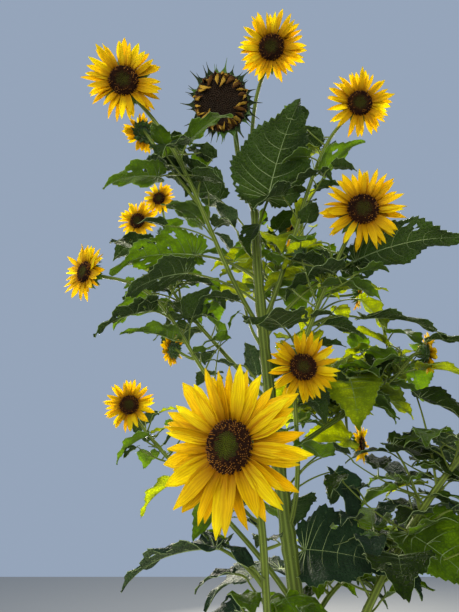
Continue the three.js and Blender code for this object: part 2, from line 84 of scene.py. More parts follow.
# name: height on the stem, two bends, tip, radii, where the leafy part starts, facing, head size
limbs = {
    "left_high": dict(
        start=1460, bends=[(-240, -80, 1610), (-270, -200, 1780)], tip=(-420, -270, 1930),
        radii=(5.8, 4), split=0.28, facing=(-85, -20), flower=162, seed=11, extra=3, size=105,
        leaves=[
            (0.66, 65, 165, 10, 130, -165, -20, 0.85, 0),
            (0.71, 75, 35, 75, 110, -20, 25, 0.8, 20),
            (0.6, 60, 180, 60, 60, -150, 15, 0.8, 0),
            (0.46, 100, 95, 75, 95, -130, 40, 0.85, 0),
            (0.56, 115, 10, 75, 70, -150, 5, 0.8, 0),
            (0.32, 100, 180, 60, 105, -150, 15, 0.95, 0),
            (0.39, 120, -170, 15, 65, -145, -10, 0.6, 0),
            (0.5, 90, 175, 55, 60, 175, 40, 0.7, 0),
            (0.66, 60, 100, 60, 60, -165, 25, 0.9, 0),
        ],
        side=dict(at=0.52, tip=(-400, -150, 1895), facing=(115, 10), flower=92),
    ),
    "upper": dict(
        start=1772, bends=[(-190, -60, 1890), (-180, -100, 1940)], tip=(-220, -160, 1975),
        radii=(7, 6), split=1, facing=(-100, -35), flower=172, spent=True,
    ),
    "top": dict(
        start=1775, bends=[(-150, -60, 1900), (-150, -130, 2010)], tip=(-100, -190, 2110),
        radii=(5.5, 4.2), split=1, facing=(-100, -25), flower=160,
    ),
    "right_high": dict(
        start=1478, bends=[(-40, -40, 1650), (-10, -100, 1880)], tip=(120, -120, 2010),
        radii=(6, 4), split=0.3, facing=(-92, -18), flower=160, seed=14, extra=3, size=115,
        leaves=[
            (0.74, 45, 110, 65, 80, -150, 30, 0.95, 0),
            (0.62, 45, 10, 40, 115, -30, 30, 0.75, 0),
            (0.66, 140, -170, 70, 55, -145, 60, 0.9, 0),
        ],
    ),
    "right_middle": dict(
        start=1215, bends=[(-70, -20, 1350), (0, -90, 1530)], tip=(80, -180, 1680),
        radii=(6.4, 4.4), split=0.3, facing=(-95, -10), flower=172, seed=15, extra=4, size=140,
        leaves=[
            (0.7, 200, 100, 60, 150, -40, 75, 0.85, 30),
            (0.78, 50, 105, 40, 65, -155, 50, 1, 0),
            (0.62, 115, 50, 35, 125, -10, 0, 0.55, 0),
            (0.54, 195, 35, 15, 195, -10, -15, 0.6, 10),
            (0.57, 215, 40, 25, 125, 5, -60, 0.6, 0),
        ],
    ),
    "centre": dict(
        start=1040, bends=[(-45, -40, 1130), (-70, -70, 1270)], tip=(-50, -105, 1360),
        radii=(5.6, 4.2), split=0.25, facing=(-87, 2), flower=146, seed=16, extra=2, size=120,
        leaves=[(0.35, 65, 5, 35, 110, -130, 15, 0.7, 0)],
    ),
    "front": dict(
        start=620, bends=[(-170, -120, 820), (-130, -270, 1010)], tip=(-200, -390, 1204),
        radii=(7, 5.3), split=0.4, facing=(-120, 5), flower=214, seed=17, extra=2, size=130,
        leaves=[
            (0.63, 115, 70, -10, 105, -65, -35, 0.9, 0),
            (0.67, 90, 160, 35, 190, 160, -20, 0.55, 0),
            (0.69, 105, 130, 20, 65, 145, 15, 0.6, 0),
        ],
    ),
    "left_low": dict(
        start=900, bends=[(-160, 60, 1040), (-350, 130, 1160)], tip=(-460, 170, 1310),
        radii=(5.8, 4), split=0.35, facing=(-82, 4), flower=130, seed=18, extra=7, size=130,
    ),
    "left_middle": dict(
        start=1240, bends=[(-310, 60, 1320), (-300, 50, 1580)], tip=(-560, 20, 1620),
        radii=(5.8, 4), split=0.25, facing=(-128, -4), flower=142, seed=19, extra=3, size=100,
        leaves=[
            (0.62, 60, -165, 25, 155, -155, -30, 0.7, 0),
            (0.48, 80, 70, 80, 90, -30, 55, 1, 0),
            (0.5, 35, 165, 15, 140, -145, 0, 0.65, 0),
            (0.35, 105, 30, 55, 75, -150, -15, 0.7, 0),
            (0.28, 140, 75, 65, 70, -155, 55, 0.8, 0),
        ],
        side=dict(at=0.42, tip=(-345, 95, 1440), facing=(150, 5), flower=84),
    ),
    "right_low": dict(
        start=650, bends=[(0, 60, 800), (180, 50, 1060)], tip=(390, -50, 1260),
        radii=(9.5, 6), split=0.4, facing=(-60, -8), flower=140, seed=20, extra=6, size=170,
        leaves=[
            (0.6, 45, -10, 60, 190, -42, -35, 0.95, 25),
            (0.72, 150, 130, 70, 165, -30, -28, 0.7, 25),
            (0.8, 205, 85, 75, 150, -25, -35, 0.8, 20),
        ],
    ),
    "rear_left": dict(
        start=1290, bends=[(-210, 150, 1450), (-390, 190, 1610)], tip=(-470, 160, 1840),
        radii=(6.2, 4), split=0.35, facing=(-105, -8), flower=122, fused=True, seed=21, extra=9, size=150,
        side=dict(at=0.6, tip=(-430, 265, 1980), facing=(-100, -10), flower=108),
    ),
    "rear_right": dict(
        start=1165, bends=[(0, 170, 1250), (180, 180, 1310)], tip=(320, 140, 1440),
        radii=(6.6, 4), split=0.35, facing=(-8, -4), flower=112, fused=True, seed=22, extra=13, size=180,
        side=dict(at=0.52, tip=(160, 265, 1215), facing=(-35, 0), flower=100),
    ),
    "rear_high": dict(
        start=1400, bends=[(-100, 110, 1560), (-50, 190, 1680)], tip=(-20, 150, 1800),
        radii=(6, 4), split=0.35, facing=(-20, -10), flower=108, fused=True, seed=23, extra=11, size=150,
        side=dict(at=0.5, tip=(170, 190, 1620), facing=(-8, -12), flower=96),
    ),
    "rear_low": dict(
        start=800, bends=[(-30, 200, 880), (160, 260, 930)], tip=(290, 220, 1020),
        radii=(6.4, 4), split=0.35, facing=(-30, 0), flower=104, fused=True, seed=24, extra=9, size=175,
    ),
}

shoots = {
    "shoot_low": dict(
        start=1326, bends=[(-135, 10, 1345), (-150, 15, 1365)], tip=(-165, 15, 1385),
        leaves=[(0.5, 40, 80, 20, 85, -130, 60, 0.85, 0), (0.95, 35, 180, 5, 65, -150, 5, 0.55, 0)],
    ),
    "shoot_middle": dict(
        start=1415, bends=[(-145, 0, 1450), (-160, -5, 1490)], tip=(-165, -10, 1530),
        leaves=[(0.95, 25, 170, 30, 90, -165, 0, 0.6, 0), (0.7, 25, 180, 30, 50, -160, -60, 0.7, 0)],
    ),
    "shoot_high": dict(
        start=1640, bends=[(-165, -5, 1670), (-175, -10, 1690)], tip=(-180, -15, 1715),
        leaves=[(0.95, 30, -160, 45, 65, -135, 40, 0.9, 0), (0.4, 40, 170, 5, 55, -160, 45, 0.8, 0)],
    ),
}

# Great leaves of the main stem: height, stalk, its heading and rise, blade, heading, pitch, width, roll
greatLeaves = [
    (1700, 100, -70, 43, 235, -73, 35, 0.84, 0),
    (1672, 150, -118, 48, 150, -142, 32, 0.8, 15),
    (1440, 280, -12, 40, 255, -12, 9, 0.72, 10),
    (1545, 140, 10, 35, 85, 15, -75, 0.6, 0),
    (1515, 290, 75, 55, 80, 140, 85, 0.8, 0),
    (1630, 100, -88, 50, 110, -125, -60, 0.65, 0),
    (1590, 165, 178, 25, 220, -165, -15, 0.75, 15),
    (1528, 190, -157, 16, 170, -150, -30, 0.75, 15),
    (1009, 70, 60, -10, 190, -28, -5, 0.88, 50),
    (1098, 135, 15, 25, 110, -50, -70, 0.9, 0),
    (1110, 265, 38, 25, 120, -170, 5, 0.95, -40),
]

stemRule = {
    "first": 250, "step": 98, "last": 1700, "turn": 60, "rise": 25, "stalk": 150, "stalkLoss": 0.3,
    "length": 185, "topLength": 120, "pitch": -30, "width": 0.85, "frontHeight": 900, "frontSide": 0.1,
}

limbRule = {
    "last": 0.96, "place": (0.4, 0.4), "turnPerSeed": 40, "turn": 40, "length": (1.15, -0.45),
    "vary": (0.8, 0.4), "stalk": 0.62, "rise": (20, 30), "pitch": (-5, -40), "swing": 30, "width": 0.82,
}

drawRule = {"perSeed": 7919, "first": 17, "step": 48271, "range": 2147483647}


def seededDraws(seed):
    state = seed * drawRule["perSeed"] + drawRule["first"]
    while True:
        state = (state * drawRule["step"]) % drawRule["range"]
        yield state / drawRule["range"]


def drawFrom(pair, draws):
    return pair[0] + pair[1] * next(draws)


def pointing(heading, rise):
    h, r = math.radians(heading), math.radians(rise)
    return np.array([math.cos(r) * math.cos(h), math.cos(r) * math.sin(h), math.sin(r)])


def unit(v):
    return v / np.linalg.norm(v)


def bezier(points, share):
    share = np.asarray(share, float)[..., None]
    rows = [np.asarray(p, float) for p in points]
    while len(rows) > 1:
        rows = [(1 - share) * a + share * b for a, b in zip(rows, rows[1:])]
    return rows[0]


def bezierLength(points):
    line = bezier(points, np.linspace(0, 1, pathSearch["measured"]))
    return np.linalg.norm(np.diff(line, axis=0), axis=1).sum()


def stemPoint(height):
    low, high = 0.0, 1.0
    for _ in range(pathSearch["halvings"]):
        middle = (low + high) / 2
        if bezier(mainStem["path"], middle)[2] < height:
            low = middle
        else:
            high = middle
    return bezier(mainStem["path"], (low + high) / 2)


def headFrame(facing):
    forward = pointing(*facing)
    side = unit(np.cross(up, forward))
    return forward, side, np.cross(forward, side)


# The bent neck that carries a head, from the end of its limb to the head's back
def neckOf(head, arriving, bend):
    forward = pointing(*head["facing"])
    centre = np.array(head["tip"], float)
    back = centre - forward * head["flower"] * growth["backShare"] * growth["neckSeat"]
    start = back - forward * growth["neckStraight"] - arriving * growth["neckReach"]
    leaving = unit(start - bend)
    return [
        start, start + leaving * growth["neckReach"] * growth["neckLeave"],
        back - forward * growth["neckStraight"] * growth["neckArrive"], back,
    ]


def limbPath(limb):
    low, high = (np.array(p, float) for p in limb["bends"])
    tip = np.array(limb["tip"], float)
    neck = neckOf(limb, unit(tip - high), high) if "flower" in limb else None
    return [stemPoint(limb["start"]), low, high, neck[0] if neck else tip], neck


def sidePath(limb, head):
    root = bezier(limb["path"], head["at"])
    rising = unit(unit(np.array(head["tip"], float) - root) + up * growth["sideRise"])
    neck = neckOf(head, rising, root)
    return [root, root + (neck[0] - root) * growth["sideBend"], neck[0], neck[3]]


def planLeaf(root, row, turn=0):
    stalk, stalkHeading, stalkRise, length, heading, pitch, width, roll = row
    base = root + pointing(stalkHeading + turn, stalkRise) * stalk
    tip = base + pointing(heading + turn, pitch) * length
    bend = root + pointing(stalkHeading + turn, stalkRise + growth["stalkArch"]) * stalk * growth["stalkBend"]
    along = unit(tip - base)
    side = np.cross(up, pointing(heading + turn, 0))
    side = unit(side - along * side.dot(along))
    r = math.radians(roll)
    side = side * math.cos(r) + np.cross(along, side) * math.sin(r)
    return dict(
        stalk=[root, bend, base], base=base, tip=tip, along=along, side=side,
        normal=np.cross(along, side), width=width, length=length,
    )


def ruleRow(limb, index, draws):
    rule = limbRule
    place = (index + drawFrom(rule["place"], draws)) / limb["extra"]
    share = limb["split"] + (rule["last"] - limb["split"]) * place
    heading = growth["goldenTurn"] * index + limb["seed"] * rule["turnPerSeed"] + rule["turn"] * next(draws)
    vary = rule["length"][0] + rule["length"][1] * share
    length = limb["size"] * vary * drawFrom(rule["vary"], draws)
    rise = drawFrom(rule["rise"], draws)
    pitch = drawFrom(rule["pitch"], draws)
    swing = rule["swing"] * (next(draws) - 0.5)
    return (share, length * rule["stalk"], heading, rise, length, heading + swing, pitch, rule["width"], 0)


# The source leaves out a leaf that would touch something, so a leaf grows here only where the
# solid of its mass has that leaf's tip
def solidPoints(name):
    mesh = nodes[name].data
    points = np.empty(len(mesh.vertices) * 3)
    mesh.vertices.foreach_get("co", points)
    return points.reshape(-1, 3) / metres


def standingLeaf(root, row, points):
    for turn in growth["turnsTried"]:
        plan = planLeaf(root, row, turn)
        if np.linalg.norm(points - plan["tip"], axis=1).min() < growth["tipNear"]:
            return plan
    return None


# A strand is a line of points with a radius at each, tapering evenly along its path
def addStrand(strands, path, radii, steps, start=0.0, end=1.0):
    share = np.linspace(start, end, steps + 1)
    thick, thin = radii
    strands.append((bezier(path, share), thick + (thin - thick) * share))


def addLeaf(plan, mass):
    if plan is not None:
        plan["mass"] = mass
        leafPlans.append(plan)


def addHead(name, head, spent=False):
    heads.append(dict(name=name, centre=head["tip"], facing=head["facing"], size=head["flower"], spent=spent))


boughStrands, upperStrands, leafPlans, heads = [], [], [], []

for name, limb in limbs.items():
    limb["path"], neck = limbPath(limb)
    path, split = limb["path"], limb["split"]
    start = split + growth["clearance"] / bezierLength(path)
    addStrand(boughStrands, path, limb["radii"], strandSteps["bough"], end=split)
    addHead(name, limb, limb.get("spent", False))
    addStrand(upperStrands, neck, (limb["radii"][1], growth["neckRadius"]), strandSteps["neck"])
    if split < 1:
        addStrand(upperStrands, path, limb["radii"], strandSteps["upper"], start=split)
        mass = "foliage_" + name
        points = solidPoints(mass)
        draws = seededDraws(limb["seed"])
        rows = list(limb.get("leaves", ())) + [ruleRow(limb, i, draws) for i in range(limb["extra"])]
        for share, *row in rows:
            root = bezier(path, max(share, start + growth["stemFoot"]))
            addLeaf(standingLeaf(root, row, points), mass)
    if "side" in limb:
        radius = growth["sideRadius"]
        addStrand(upperStrands, sidePath(limb, limb["side"]), (radius, radius), strandSteps["side"])
        addHead(name + "_side", limb["side"])

for name, shoot in shoots.items():
    path, _ = limbPath(shoot)
    addStrand(upperStrands, path, growth["shootRadii"], strandSteps["shoot"])
    points = solidPoints(name)
    for share, *row in shoot["leaves"]:
        addLeaf(standingLeaf(bezier(path, max(share, growth["stemFoot"])), row, points), name)


# The great leaves, then the ones that the rule adds, left out where they would hide the front
def stemRows():
    rule = stemRule
    rows = list(greatLeaves)
    for i in range(int((rule["last"] - rule["first"]) / rule["step"]) + 1):
        height = rule["first"] + i * rule["step"]
        heading = rule["turn"] + growth["goldenTurn"] * i
        if math.sin(math.radians(heading)) < rule["frontSide"] and height > rule["frontHeight"]:
            continue
        share = height / rule["last"]
        length = rule["length"] + (rule["topLength"] - rule["length"]) * share
        stalk = rule["stalk"] * (1 - rule["stalkLoss"] * share)
        rows.append((height, stalk, heading, rule["rise"], length, heading, rule["pitch"], rule["width"], 0))
    return rows


stemLeafRows = stemRows()
stemSolids = [(name, solidPoints(name)) for name in sorted(nodes) if name.startswith("stem_leaf_")]
for height, *row in stemLeafRows:
    for name, points in stemSolids:
        plan = standingLeaf(stemPoint(height), row, points)
        if plan:
            addLeaf(plan, name)
            break

# The main stem swells a little where a limb or a leaf stalk leaves it
attachHeights = np.array([limb["start"] for limb in limbs.values()] + [row[0] for row in stemLeafRows])


def stemRadius(share):
    height = bezier(mainStem["path"], share)[2]
    flare = mainStem["flareRadius"] * max(0.0, 1 - height / mainStem["flareHeight"]) ** 2
    swell = np.exp(-((attachHeights - height) / mainStem["nodeReach"]) ** 2).max()
    plain = mainStem["footRadius"] + (mainStem["topRadius"] - mainStem["footRadius"]) * share
    return plain * (1 + mainStem["nodeSwell"] * swell) + flare


stemShares = np.linspace(0, 1, strandSteps["main"] + 1)
stemStrands = [(bezier(mainStem["path"], stemShares), np.array([stemRadius(share) for share in stemShares]))]
print("grown:", len(leafPlans), "leaves,", len(heads), "heads")


# Meshes. A heap gathers points, faces, finishes and flat coordinates until they become one piece
def newHeap():
    return {"points": [], "faces": [], "finish": [], "flat": [], "count": 0}


def pour(heap, points, faces, finish, flat=None):
    first = heap["count"]
    heap["points"].append(points)
    heap["faces"].extend(tuple(first + i for i in face) for face in faces)
    heap["finish"].extend(finish)
    heap["flat"].append(np.zeros((len(points), 2)) if flat is None else flat)
    heap["count"] += len(points)


def heapToMesh(name, heap, finishes):
    mesh = bpy.data.meshes.new(name)
    mesh.from_pydata(np.concatenate(heap["points"]) * metres, [], heap["faces"])
    mesh.polygons.foreach_set("material_index", heap["finish"])
    mesh.polygons.foreach_set("use_smooth", [True] * len(mesh.polygons))
    corners = np.empty(len(mesh.loops), int)
    mesh.loops.foreach_get("vertex_index", corners)
    layer = mesh.uv_layers.new(name="flat")
    layer.data.foreach_set("uv", np.concatenate(heap["flat"])[corners].ravel())
    for finish in finishes:
        mesh.materials.append(finish)
    mesh.update()
    return mesh


def placePiece(name, mesh, slot, *replaced):
    piece = bpy.data.objects.new(name, mesh)
    link(piece)
    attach(piece, "root")
    if replaced:
        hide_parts(*replaced)
    mesh.calc_loop_triangles()
    print(name, len(mesh.loop_triangles), "triangles")


def gridFaces(rows, columns):
    width = columns + 1
    corners = [a for r in range(rows) for a in range(r * width, r * width + columns)]
    return [(a, a + width, a + width + 1, a + 1) for a in corners]


def bandFaces(rings, sides, first):
    faces = []
    for i in range(rings - 1):
        for k in range(sides):
            a, b = first + i * sides + k, first + i * sides + (k + 1) % sides
            faces.append((a, b, b + sides, a + sides))
    return faces


def turned(y, z, angle):
    return y * np.cos(angle) - z * np.sin(angle), y * np.sin(angle) + z * np.cos(angle)


def sheetNormals(points, faces):
    normals = np.zeros_like(points)
    for size, (a, b, c, d) in ((3, (0, 1, 0, 2)), (4, (0, 2, 1, 3))):
        some = np.array([f for f in faces if len(f) == size])
        if len(some):
            cross = np.cross(points[some[:, b]] - points[some[:, a]], points[some[:, d]] - points[some[:, c]])
            for k in range(size):
                np.add.at(normals, some[:, k], cross)
    return normals / np.maximum(np.linalg.norm(normals, axis=1), 1e-9)[:, None]


# A thin closed body from a sheet: its top, its underside and a wall along each open edge
def pourShell(heap, points, faces, flat, thick, finishes=(0, 0, 0)):
    normals = sheetNormals(points, faces)
    count = len(points)
    edges = {(a, b): True for face in faces for a, b in zip(face, face[1:] + face[:1])}
    walls = [(b, a, a + count, b + count) for a, b in edges if (b, a) not in edges]
    under = [tuple(i + count for i in reversed(face)) for face in faces]
    body = np.concatenate([points + normals * thick / 2, points - normals * thick / 2])
    top, below, rim = finishes
    finish = [top] * len(faces) + [below] * len(under) + [rim] * len(walls)
    pour(heap, body, list(faces) + under + walls, finish, np.concatenate([flat, flat]))


# A slim closed rib of four sides along a line of points, pointed at its far end
def pourRib(heap, line, normals, half, finish):
    across = np.cross(normals, np.gradient(line, axis=0))
    across /= np.maximum(np.linalg.norm(across, axis=1), 1e-9)[:, None]
    reach = half[:, None]
    rings = np.stack([line + across * reach, line + normals * reach * leafForm["ribRise"],
                      line - across * reach, line - normals * reach * leafForm["ribSink"]], axis=1)[:-1]
    count = len(rings)
    last = 4 * (count - 1)
    faces = [(3, 2, 1, 0)] + bandFaces(count, 4, 0)
    faces += [(last + k, last + (k + 1) % 4, 4 * count) for k in range(4)]
    pour(heap, np.concatenate([rings.reshape(-1, 3), line[-1:]]), faces, [finish] * len(faces))


# Leaf: a grid whose cross lines follow the side veins from the midrib out to a toothed margin
leafForm = {
    "outline": [
        (0, 0.03), (-0.06, 0.16), (-0.1, 0.36), (-0.07, 0.6), (0.04, 0.84), (0.16, 0.97), (0.28, 1.0),
        (0.42, 0.9), (0.58, 0.71), (0.7, 0.53), (0.82, 0.33), (0.92, 0.14), (1, 0.0),
    ],
    "widest": 6, "columns": ((60, 3), (95, 4), (165, 6), (math.inf, 8)),
    "rowsPerLength": 0.2, "leastRows": 10, "mostRows": 46, "level": (0.03, 0.985), "veinEvery": 4,
    "midribRoot": 0.05, "midribRun": 0.94, "midribEase": 1.12,
    "tooth": 0.03, "toothLean": 0.4, "toothVary": (0.5, 1.3), "toothFade": 0.35,
    "bow": 0.035, "swell": 0.1, "fold": (0.12, 0.42), "crease": 0.1, "arch": 0.08,
    "ruffle": 0.042, "waves": (2.2, 4.2),
    "quilt": 0.024, "quiltEase": 0.8, "quiltFrom": 0.06, "quiltRun": 0.9,
    "droop": (0.1, 0.45), "droopFrom": 0.55, "twist": 14, "thick": 0.7,
    "midrib": 0.012, "midribEnd": 0.12,
    "sideVein": 0.0066, "veinFirst": 1.15, "veinLoss": 0.6, "veinEnd": 0.25,
    "ribRise": 0.8, "ribSink": 1.25, "holeFrom": 3, "holeTo": 0.8, "holeCells": (1, 4),
}


def alongOutline(outline, run, where):
    return np.stack([np.interp(where, run, outline[:, i]) for i in (0, 1)], axis=1)


def toothedRim(outline, run, level, random):
    form = leafForm
    length, half = outline[-1, 0], outline[form["widest"], 1]
    peaks = np.arange(len(level)) % 2
    shifted = level + peaks * form["toothLean"] * (level[1] - level[0])
    rim = alongOutline(outline, run, shifted)
    ahead = alongOutline(outline, run, shifted + 0.02)
    tangent = (ahead - rim) / np.maximum(np.linalg.norm(ahead - rim, axis=1), 1e-6)[:, None]
    depth = form["tooth"] * length * (peaks - 0.5) * random.uniform(*form["toothVary"], len(level))
    depth *= np.minimum(1, rim[:, 1] / half / form["toothFade"])
    return rim + np.stack([-tangent[:, 1], tangent[:, 0]], axis=1) * depth[:, None]


def leafSheet(plan, random):
    form = leafForm
    length, half = plan["length"], plan["width"] * plan["length"] * 0.5
    rows = int(np.clip(length * form["rowsPerLength"], form["leastRows"], form["mostRows"])) // 2 * 2
    columns = next(count for below, count in form["columns"] if length < below)
    outline = np.array(form["outline"]) * [length, half]
    run = np.concatenate([[0], np.cumsum(np.linalg.norm(np.diff(outline, axis=0), axis=1))])
    run /= run[-1]
    widest = run[form["widest"]]
    level = np.linspace(*form["level"], rows + 1)
    beyond = np.maximum(level - widest, 0) / (1 - widest)
    rootward = form["midribRoot"] * level / widest
    tipward = form["midribRoot"] + form["midribRun"] * beyond ** form["midribEase"]
    middle = np.where(level < widest, rootward, tipward)
    sheet = np.zeros((rows + 1, 2 * columns + 1, 3))
    sheet[:, columns, 0] = middle * length
    calm = plan.get("calm", 1.0)
    waves = random.uniform(*form["waves"])
    twist = random.uniform(-1, 1) * form["twist"] * calm
    fold = random.uniform(*form["fold"]) * calm
    droop = random.uniform(*form["droop"])
    crown = np.abs(np.sin(math.pi * np.arange(rows + 1) / form["veinEvery"])) ** form["quiltEase"]
    for sign in (1, -1):
        rim = toothedRim(outline, run, level, random)
        phase = random.uniform(0, 1)
        for j, q in enumerate(np.linspace(0, 1, columns + 1)[1:]):
            bow = math.sin(math.pi * q)
            pulled = form["bow"] * length * bow * np.minimum(1, middle * 5)
            ruffle = form["ruffle"] * length * q ** 3 * np.sin(2 * math.pi * (waves * level + phase))
            rise = math.sin(math.pi * min(1, form["quiltFrom"] + form["quiltRun"] * q))
            quilt = form["quilt"] * length * crown * rise * np.minimum(1, rim[:, 1] / half)
            column = columns + sign * (j + 1)
            sheet[:, column, 0] = middle * length * (1 - q) + rim[:, 0] * q - pulled
            sheet[:, column, 1] = rim[:, 1] * (q + form["swell"] * bow) * sign
            sheet[:, column, 2] = ruffle + quilt
    plane = np.concatenate([sheet.reshape(-1, 3), [[length, 0, 0]]])
    share, out = plane[:, 0] / length, plane[:, 1] / half
    plane[:, 2] += fold * half * (np.sqrt(out ** 2 + form["crease"] ** 2) - form["crease"])
    plane[:, 2] += 4 * form["arch"] * length * np.maximum(share, 0) * (1 - share)
    plane[:, 2] -= droop * length * np.maximum(share - form["droopFrom"], 0) ** 2
    angle = np.radians(twist * share + plan.get("turned", 0.0))
    plane[:, 1], plane[:, 2] = turned(plane[:, 1], plane[:, 2], angle)
    points = plan["base"] + plane @ np.stack([plan["along"], plan["side"], plan["normal"]])
    last = rows * (2 * columns + 1)
    faces = gridFaces(rows, 2 * columns)
    faces += [(last + c, len(points) - 1, last + c + 1) for c in range(2 * columns)]
    return points, faces, np.stack([0.5 + 0.5 * out, share], axis=1), rows, columns


# Holes eaten between the side veins: runs of neighbouring cells, away from midrib and margin
def eatHoles(faces, rows, columns, holes, random):
    form, gone = leafForm, set()
    for _ in range(holes):
        r = random.integers(form["holeFrom"], max(form["holeFrom"] + 1, int(rows * form["holeTo"])))
        c = random.choice([random.integers(1, columns - 1), random.integers(columns + 1, 2 * columns - 1)])
        for step in range(random.integers(*form["holeCells"])):
            if (r + step) % form["veinEvery"] in (0, form["veinEvery"] - 1):
                break
            gone.add((r + step) * 2 * columns + c + (step % 2) * random.integers(0, 2))
    return [face for i, face in enumerate(faces) if i not in gone]


def pourLeaf(heap, plan, finishes, holes, random):
    form, rib = leafForm, finishes[2]
    points, faces, flat, rows, columns = leafSheet(plan, random)
    kept = eatHoles(faces, rows, columns, holes, random) if holes else faces
    pourShell(heap, points, kept, flat, form["thick"], finishes)
    normals = sheetNormals(points, faces)
    width, length = 2 * columns + 1, plan["length"]
    spine = [r * width + columns for r in range(rows + 1)] + [len(points) - 1]
    taper = np.linspace(1, form["midribEnd"], len(spine))
    pourRib(heap, points[spine], normals[spine], form["midrib"] * length * taper, rib)
    for r in range(form["veinEvery"] // 2, rows - 1, form["veinEvery"]):
        thin = form["sideVein"] * length * (form["veinFirst"] - form["veinLoss"] * r / rows)
        for sign in (1, -1):
            line = [r * width + columns + sign * j for j in range(columns)]
            pourRib(heap, points[line], normals[line], thin * np.linspace(1, form["veinEnd"], columns), rib)


# Petals, bracts and withered rays, each a blade of unit length along X with its face towards Z
bladeForms = {
    "petal": dict(
        widths=[0.5, 0.85, 1.0, 0.96, 0.68, 0.05], half=0.145, groove=0.022,
        cup=0.06, bend=(-0.2, 0.2), twist=(-40, 40), sway=(-0.07, 0.07), thick=0.009, columns=2,
    ),
    "bract": dict(
        widths=[0.9, 1.0, 0.82, 0.4, 0.03], half=0.21, groove=0.0,
        cup=0.1, bend=(-0.3, -0.05), twist=(-16, 16), sway=(-0.08, 0.08), thick=0.03, columns=1,
    ),
    "spike": dict(
        widths=[0.95, 1.0, 0.78, 0.48, 0.27, 0.16, 0.11, 0.08, 0.05, 0.02], half=0.24, groove=0.012,
        cup=0.1, bend=(-0.2, 0.25), twist=(-30, 30), sway=(-0.14, 0.14), thick=0.02, columns=2,
    ),
    "withered": dict(
        widths=[0.4, 0.6, 0.8, 0.95, 0.8, 0.95, 0.75, 0.55, 0.4, 0.1], half=0.14, groove=0.035,
        cup=0.12, bend=(0.1, 0.7), twist=(-110, 110), sway=(-0.2, 0.2), thick=0.02, columns=3,
    ),
}
bladeVary = {"width": (0.85, 1.12), "edge": 0.05}


def bladeMesh(name, form, random):
    rows, columns = len(form["widths"]) - 1, 2 * form["columns"]
    run = np.linspace(0, 1, rows + 1)[:, None]
    across = np.linspace(-1, 1, columns + 1)
    bend, sway = random.uniform(*form["bend"]), random.uniform(*form["sway"])
    twist = np.radians(random.uniform(*form["twist"])) * run
    broad = random.uniform(*bladeVary["width"])
    uneven = 1 + bladeVary["edge"] * random.standard_normal(rows + 1)
    widths = (np.array(form["widths"]) * broad * uneven)[:, None]
    ridge = np.where(np.arange(columns + 1) % 2 == 0, 1.0, -1.0)
    z = form["groove"] * ridge * np.minimum(1, widths) + form["cup"] * across ** 2 * widths
    y, z = turned(widths * form["half"] * across, z, twist)
    x = np.repeat(run, columns + 1, axis=1)
    points = np.stack([x, y + sway * run ** 2, z + bend * run ** 2], axis=2).reshape(-1, 3) / metres
    flat = np.stack([np.tile(0.5 + 0.5 * across, rows + 1), x.ravel()], axis=1)
    heap = newHeap()
    pourShell(heap, points, gridFaces(rows, columns), flat, form["thick"] / metres)
    return heapToMesh(name, heap, [])


def bladeKit(kind, count, seed):
    random = np.random.default_rng(seed)
    kit = bpy.data.collections.new(kind + "Kit")
    for i in range(count):
        name = f"{kind}{i}"
        kit.objects.link(bpy.data.objects.new(name, bladeMesh(name, bladeForms[kind], random)))
    return kit


# A closed turned body from its profile, radius and height from bottom to top
def lathe(heap, profile, sides, finish=0):
    angle = np.linspace(0, 2 * math.pi, sides, endpoint=False)
    cosine, sine = np.cos(angle), np.sin(angle)
    rings = [np.stack([r * cosine, r * sine, np.full(sides, z)], axis=1) for r, z in profile[1:-1]]
    points = np.concatenate([[[0, 0, profile[0][1]]], *rings, [[0, 0, profile[-1][1]]]])
    last = 1 + (len(rings) - 1) * sides
    faces = [(0, 1 + (k + 1) % sides, 1 + k) for k in range(sides)] + bandFaces(len(rings), sides, 1)
    faces += [(last + k, last + (k + 1) % sides, len(points) - 1) for k in range(sides)]
    pour(heap, points, faces, [finish] * len(faces))


# Node trees. An input is named with its value, or with its kind where it has no plain value
def newTree(name, kind, inputs, outputs):
    tree = bpy.data.node_groups.new(name, kind + "NodeTree")
    for label, value in inputs.items():
        socketKind = {int: "Int", float: "Float", tuple: "Color"}.get(type(value), value)
        socket = tree.interface.new_socket(label, in_out="INPUT", socket_type="NodeSocket" + socketKind)
        if socketKind != value:
            socket.default_value = value
    for label, socketKind in outputs.items():
        tree.interface.new_socket(label, in_out="OUTPUT", socket_type="NodeSocket" + socketKind)
    return tree, tree.nodes.new("NodeGroupInput").outputs, tree.nodes.new("NodeGroupOutput").inputs


def shapeTree(name, inputs):
    shape = {"Geometry": "Geometry"}
    return newTree(name, "Geometry", {**shape, **inputs}, shape)


# Sockets are given in order, or by name or number in a dictionary
def node(tree, kind, *values, **settings):
    made = tree.nodes.new(kind)
    for key, value in settings.items():
        setattr(made, key, value)
    pairs = values[0].items() if values and isinstance(values[0], dict) else enumerate(values)
    for key, value in pairs:
        if isinstance(value, bpy.types.NodeSocket):
            tree.links.new(value, made.inputs[key])
        elif value is not None:
            made.inputs[key].default_value = value
    return made.outputs


def calc(operation, *values):
    tree = next(value.id_data for value in values if isinstance(value, bpy.types.NodeSocket))
    return node(tree, "ShaderNodeMath", *values, operation=operation)[0]


def plus(first, *others):
    for other in others:
        first = calc("ADD", first, other)
    return first


def times(first, *others):
    for other in others:
        first = calc("MULTIPLY", first, other)
    return first


def scaled(vector, amount):
    return node(vector.id_data, "ShaderNodeVectorMath", {0: vector, "Scale": amount}, operation="SCALE")[0]


def randomBetween(low, high, seed, whole=False):
    first = 4 if whole else 2
    values = {first: low, first + 1: high, "Seed": seed}
    made = node(seed.id_data, "FunctionNodeRandomValue", values, data_type="INT" if whole else "FLOAT")
    return made[2 if whole else 1]


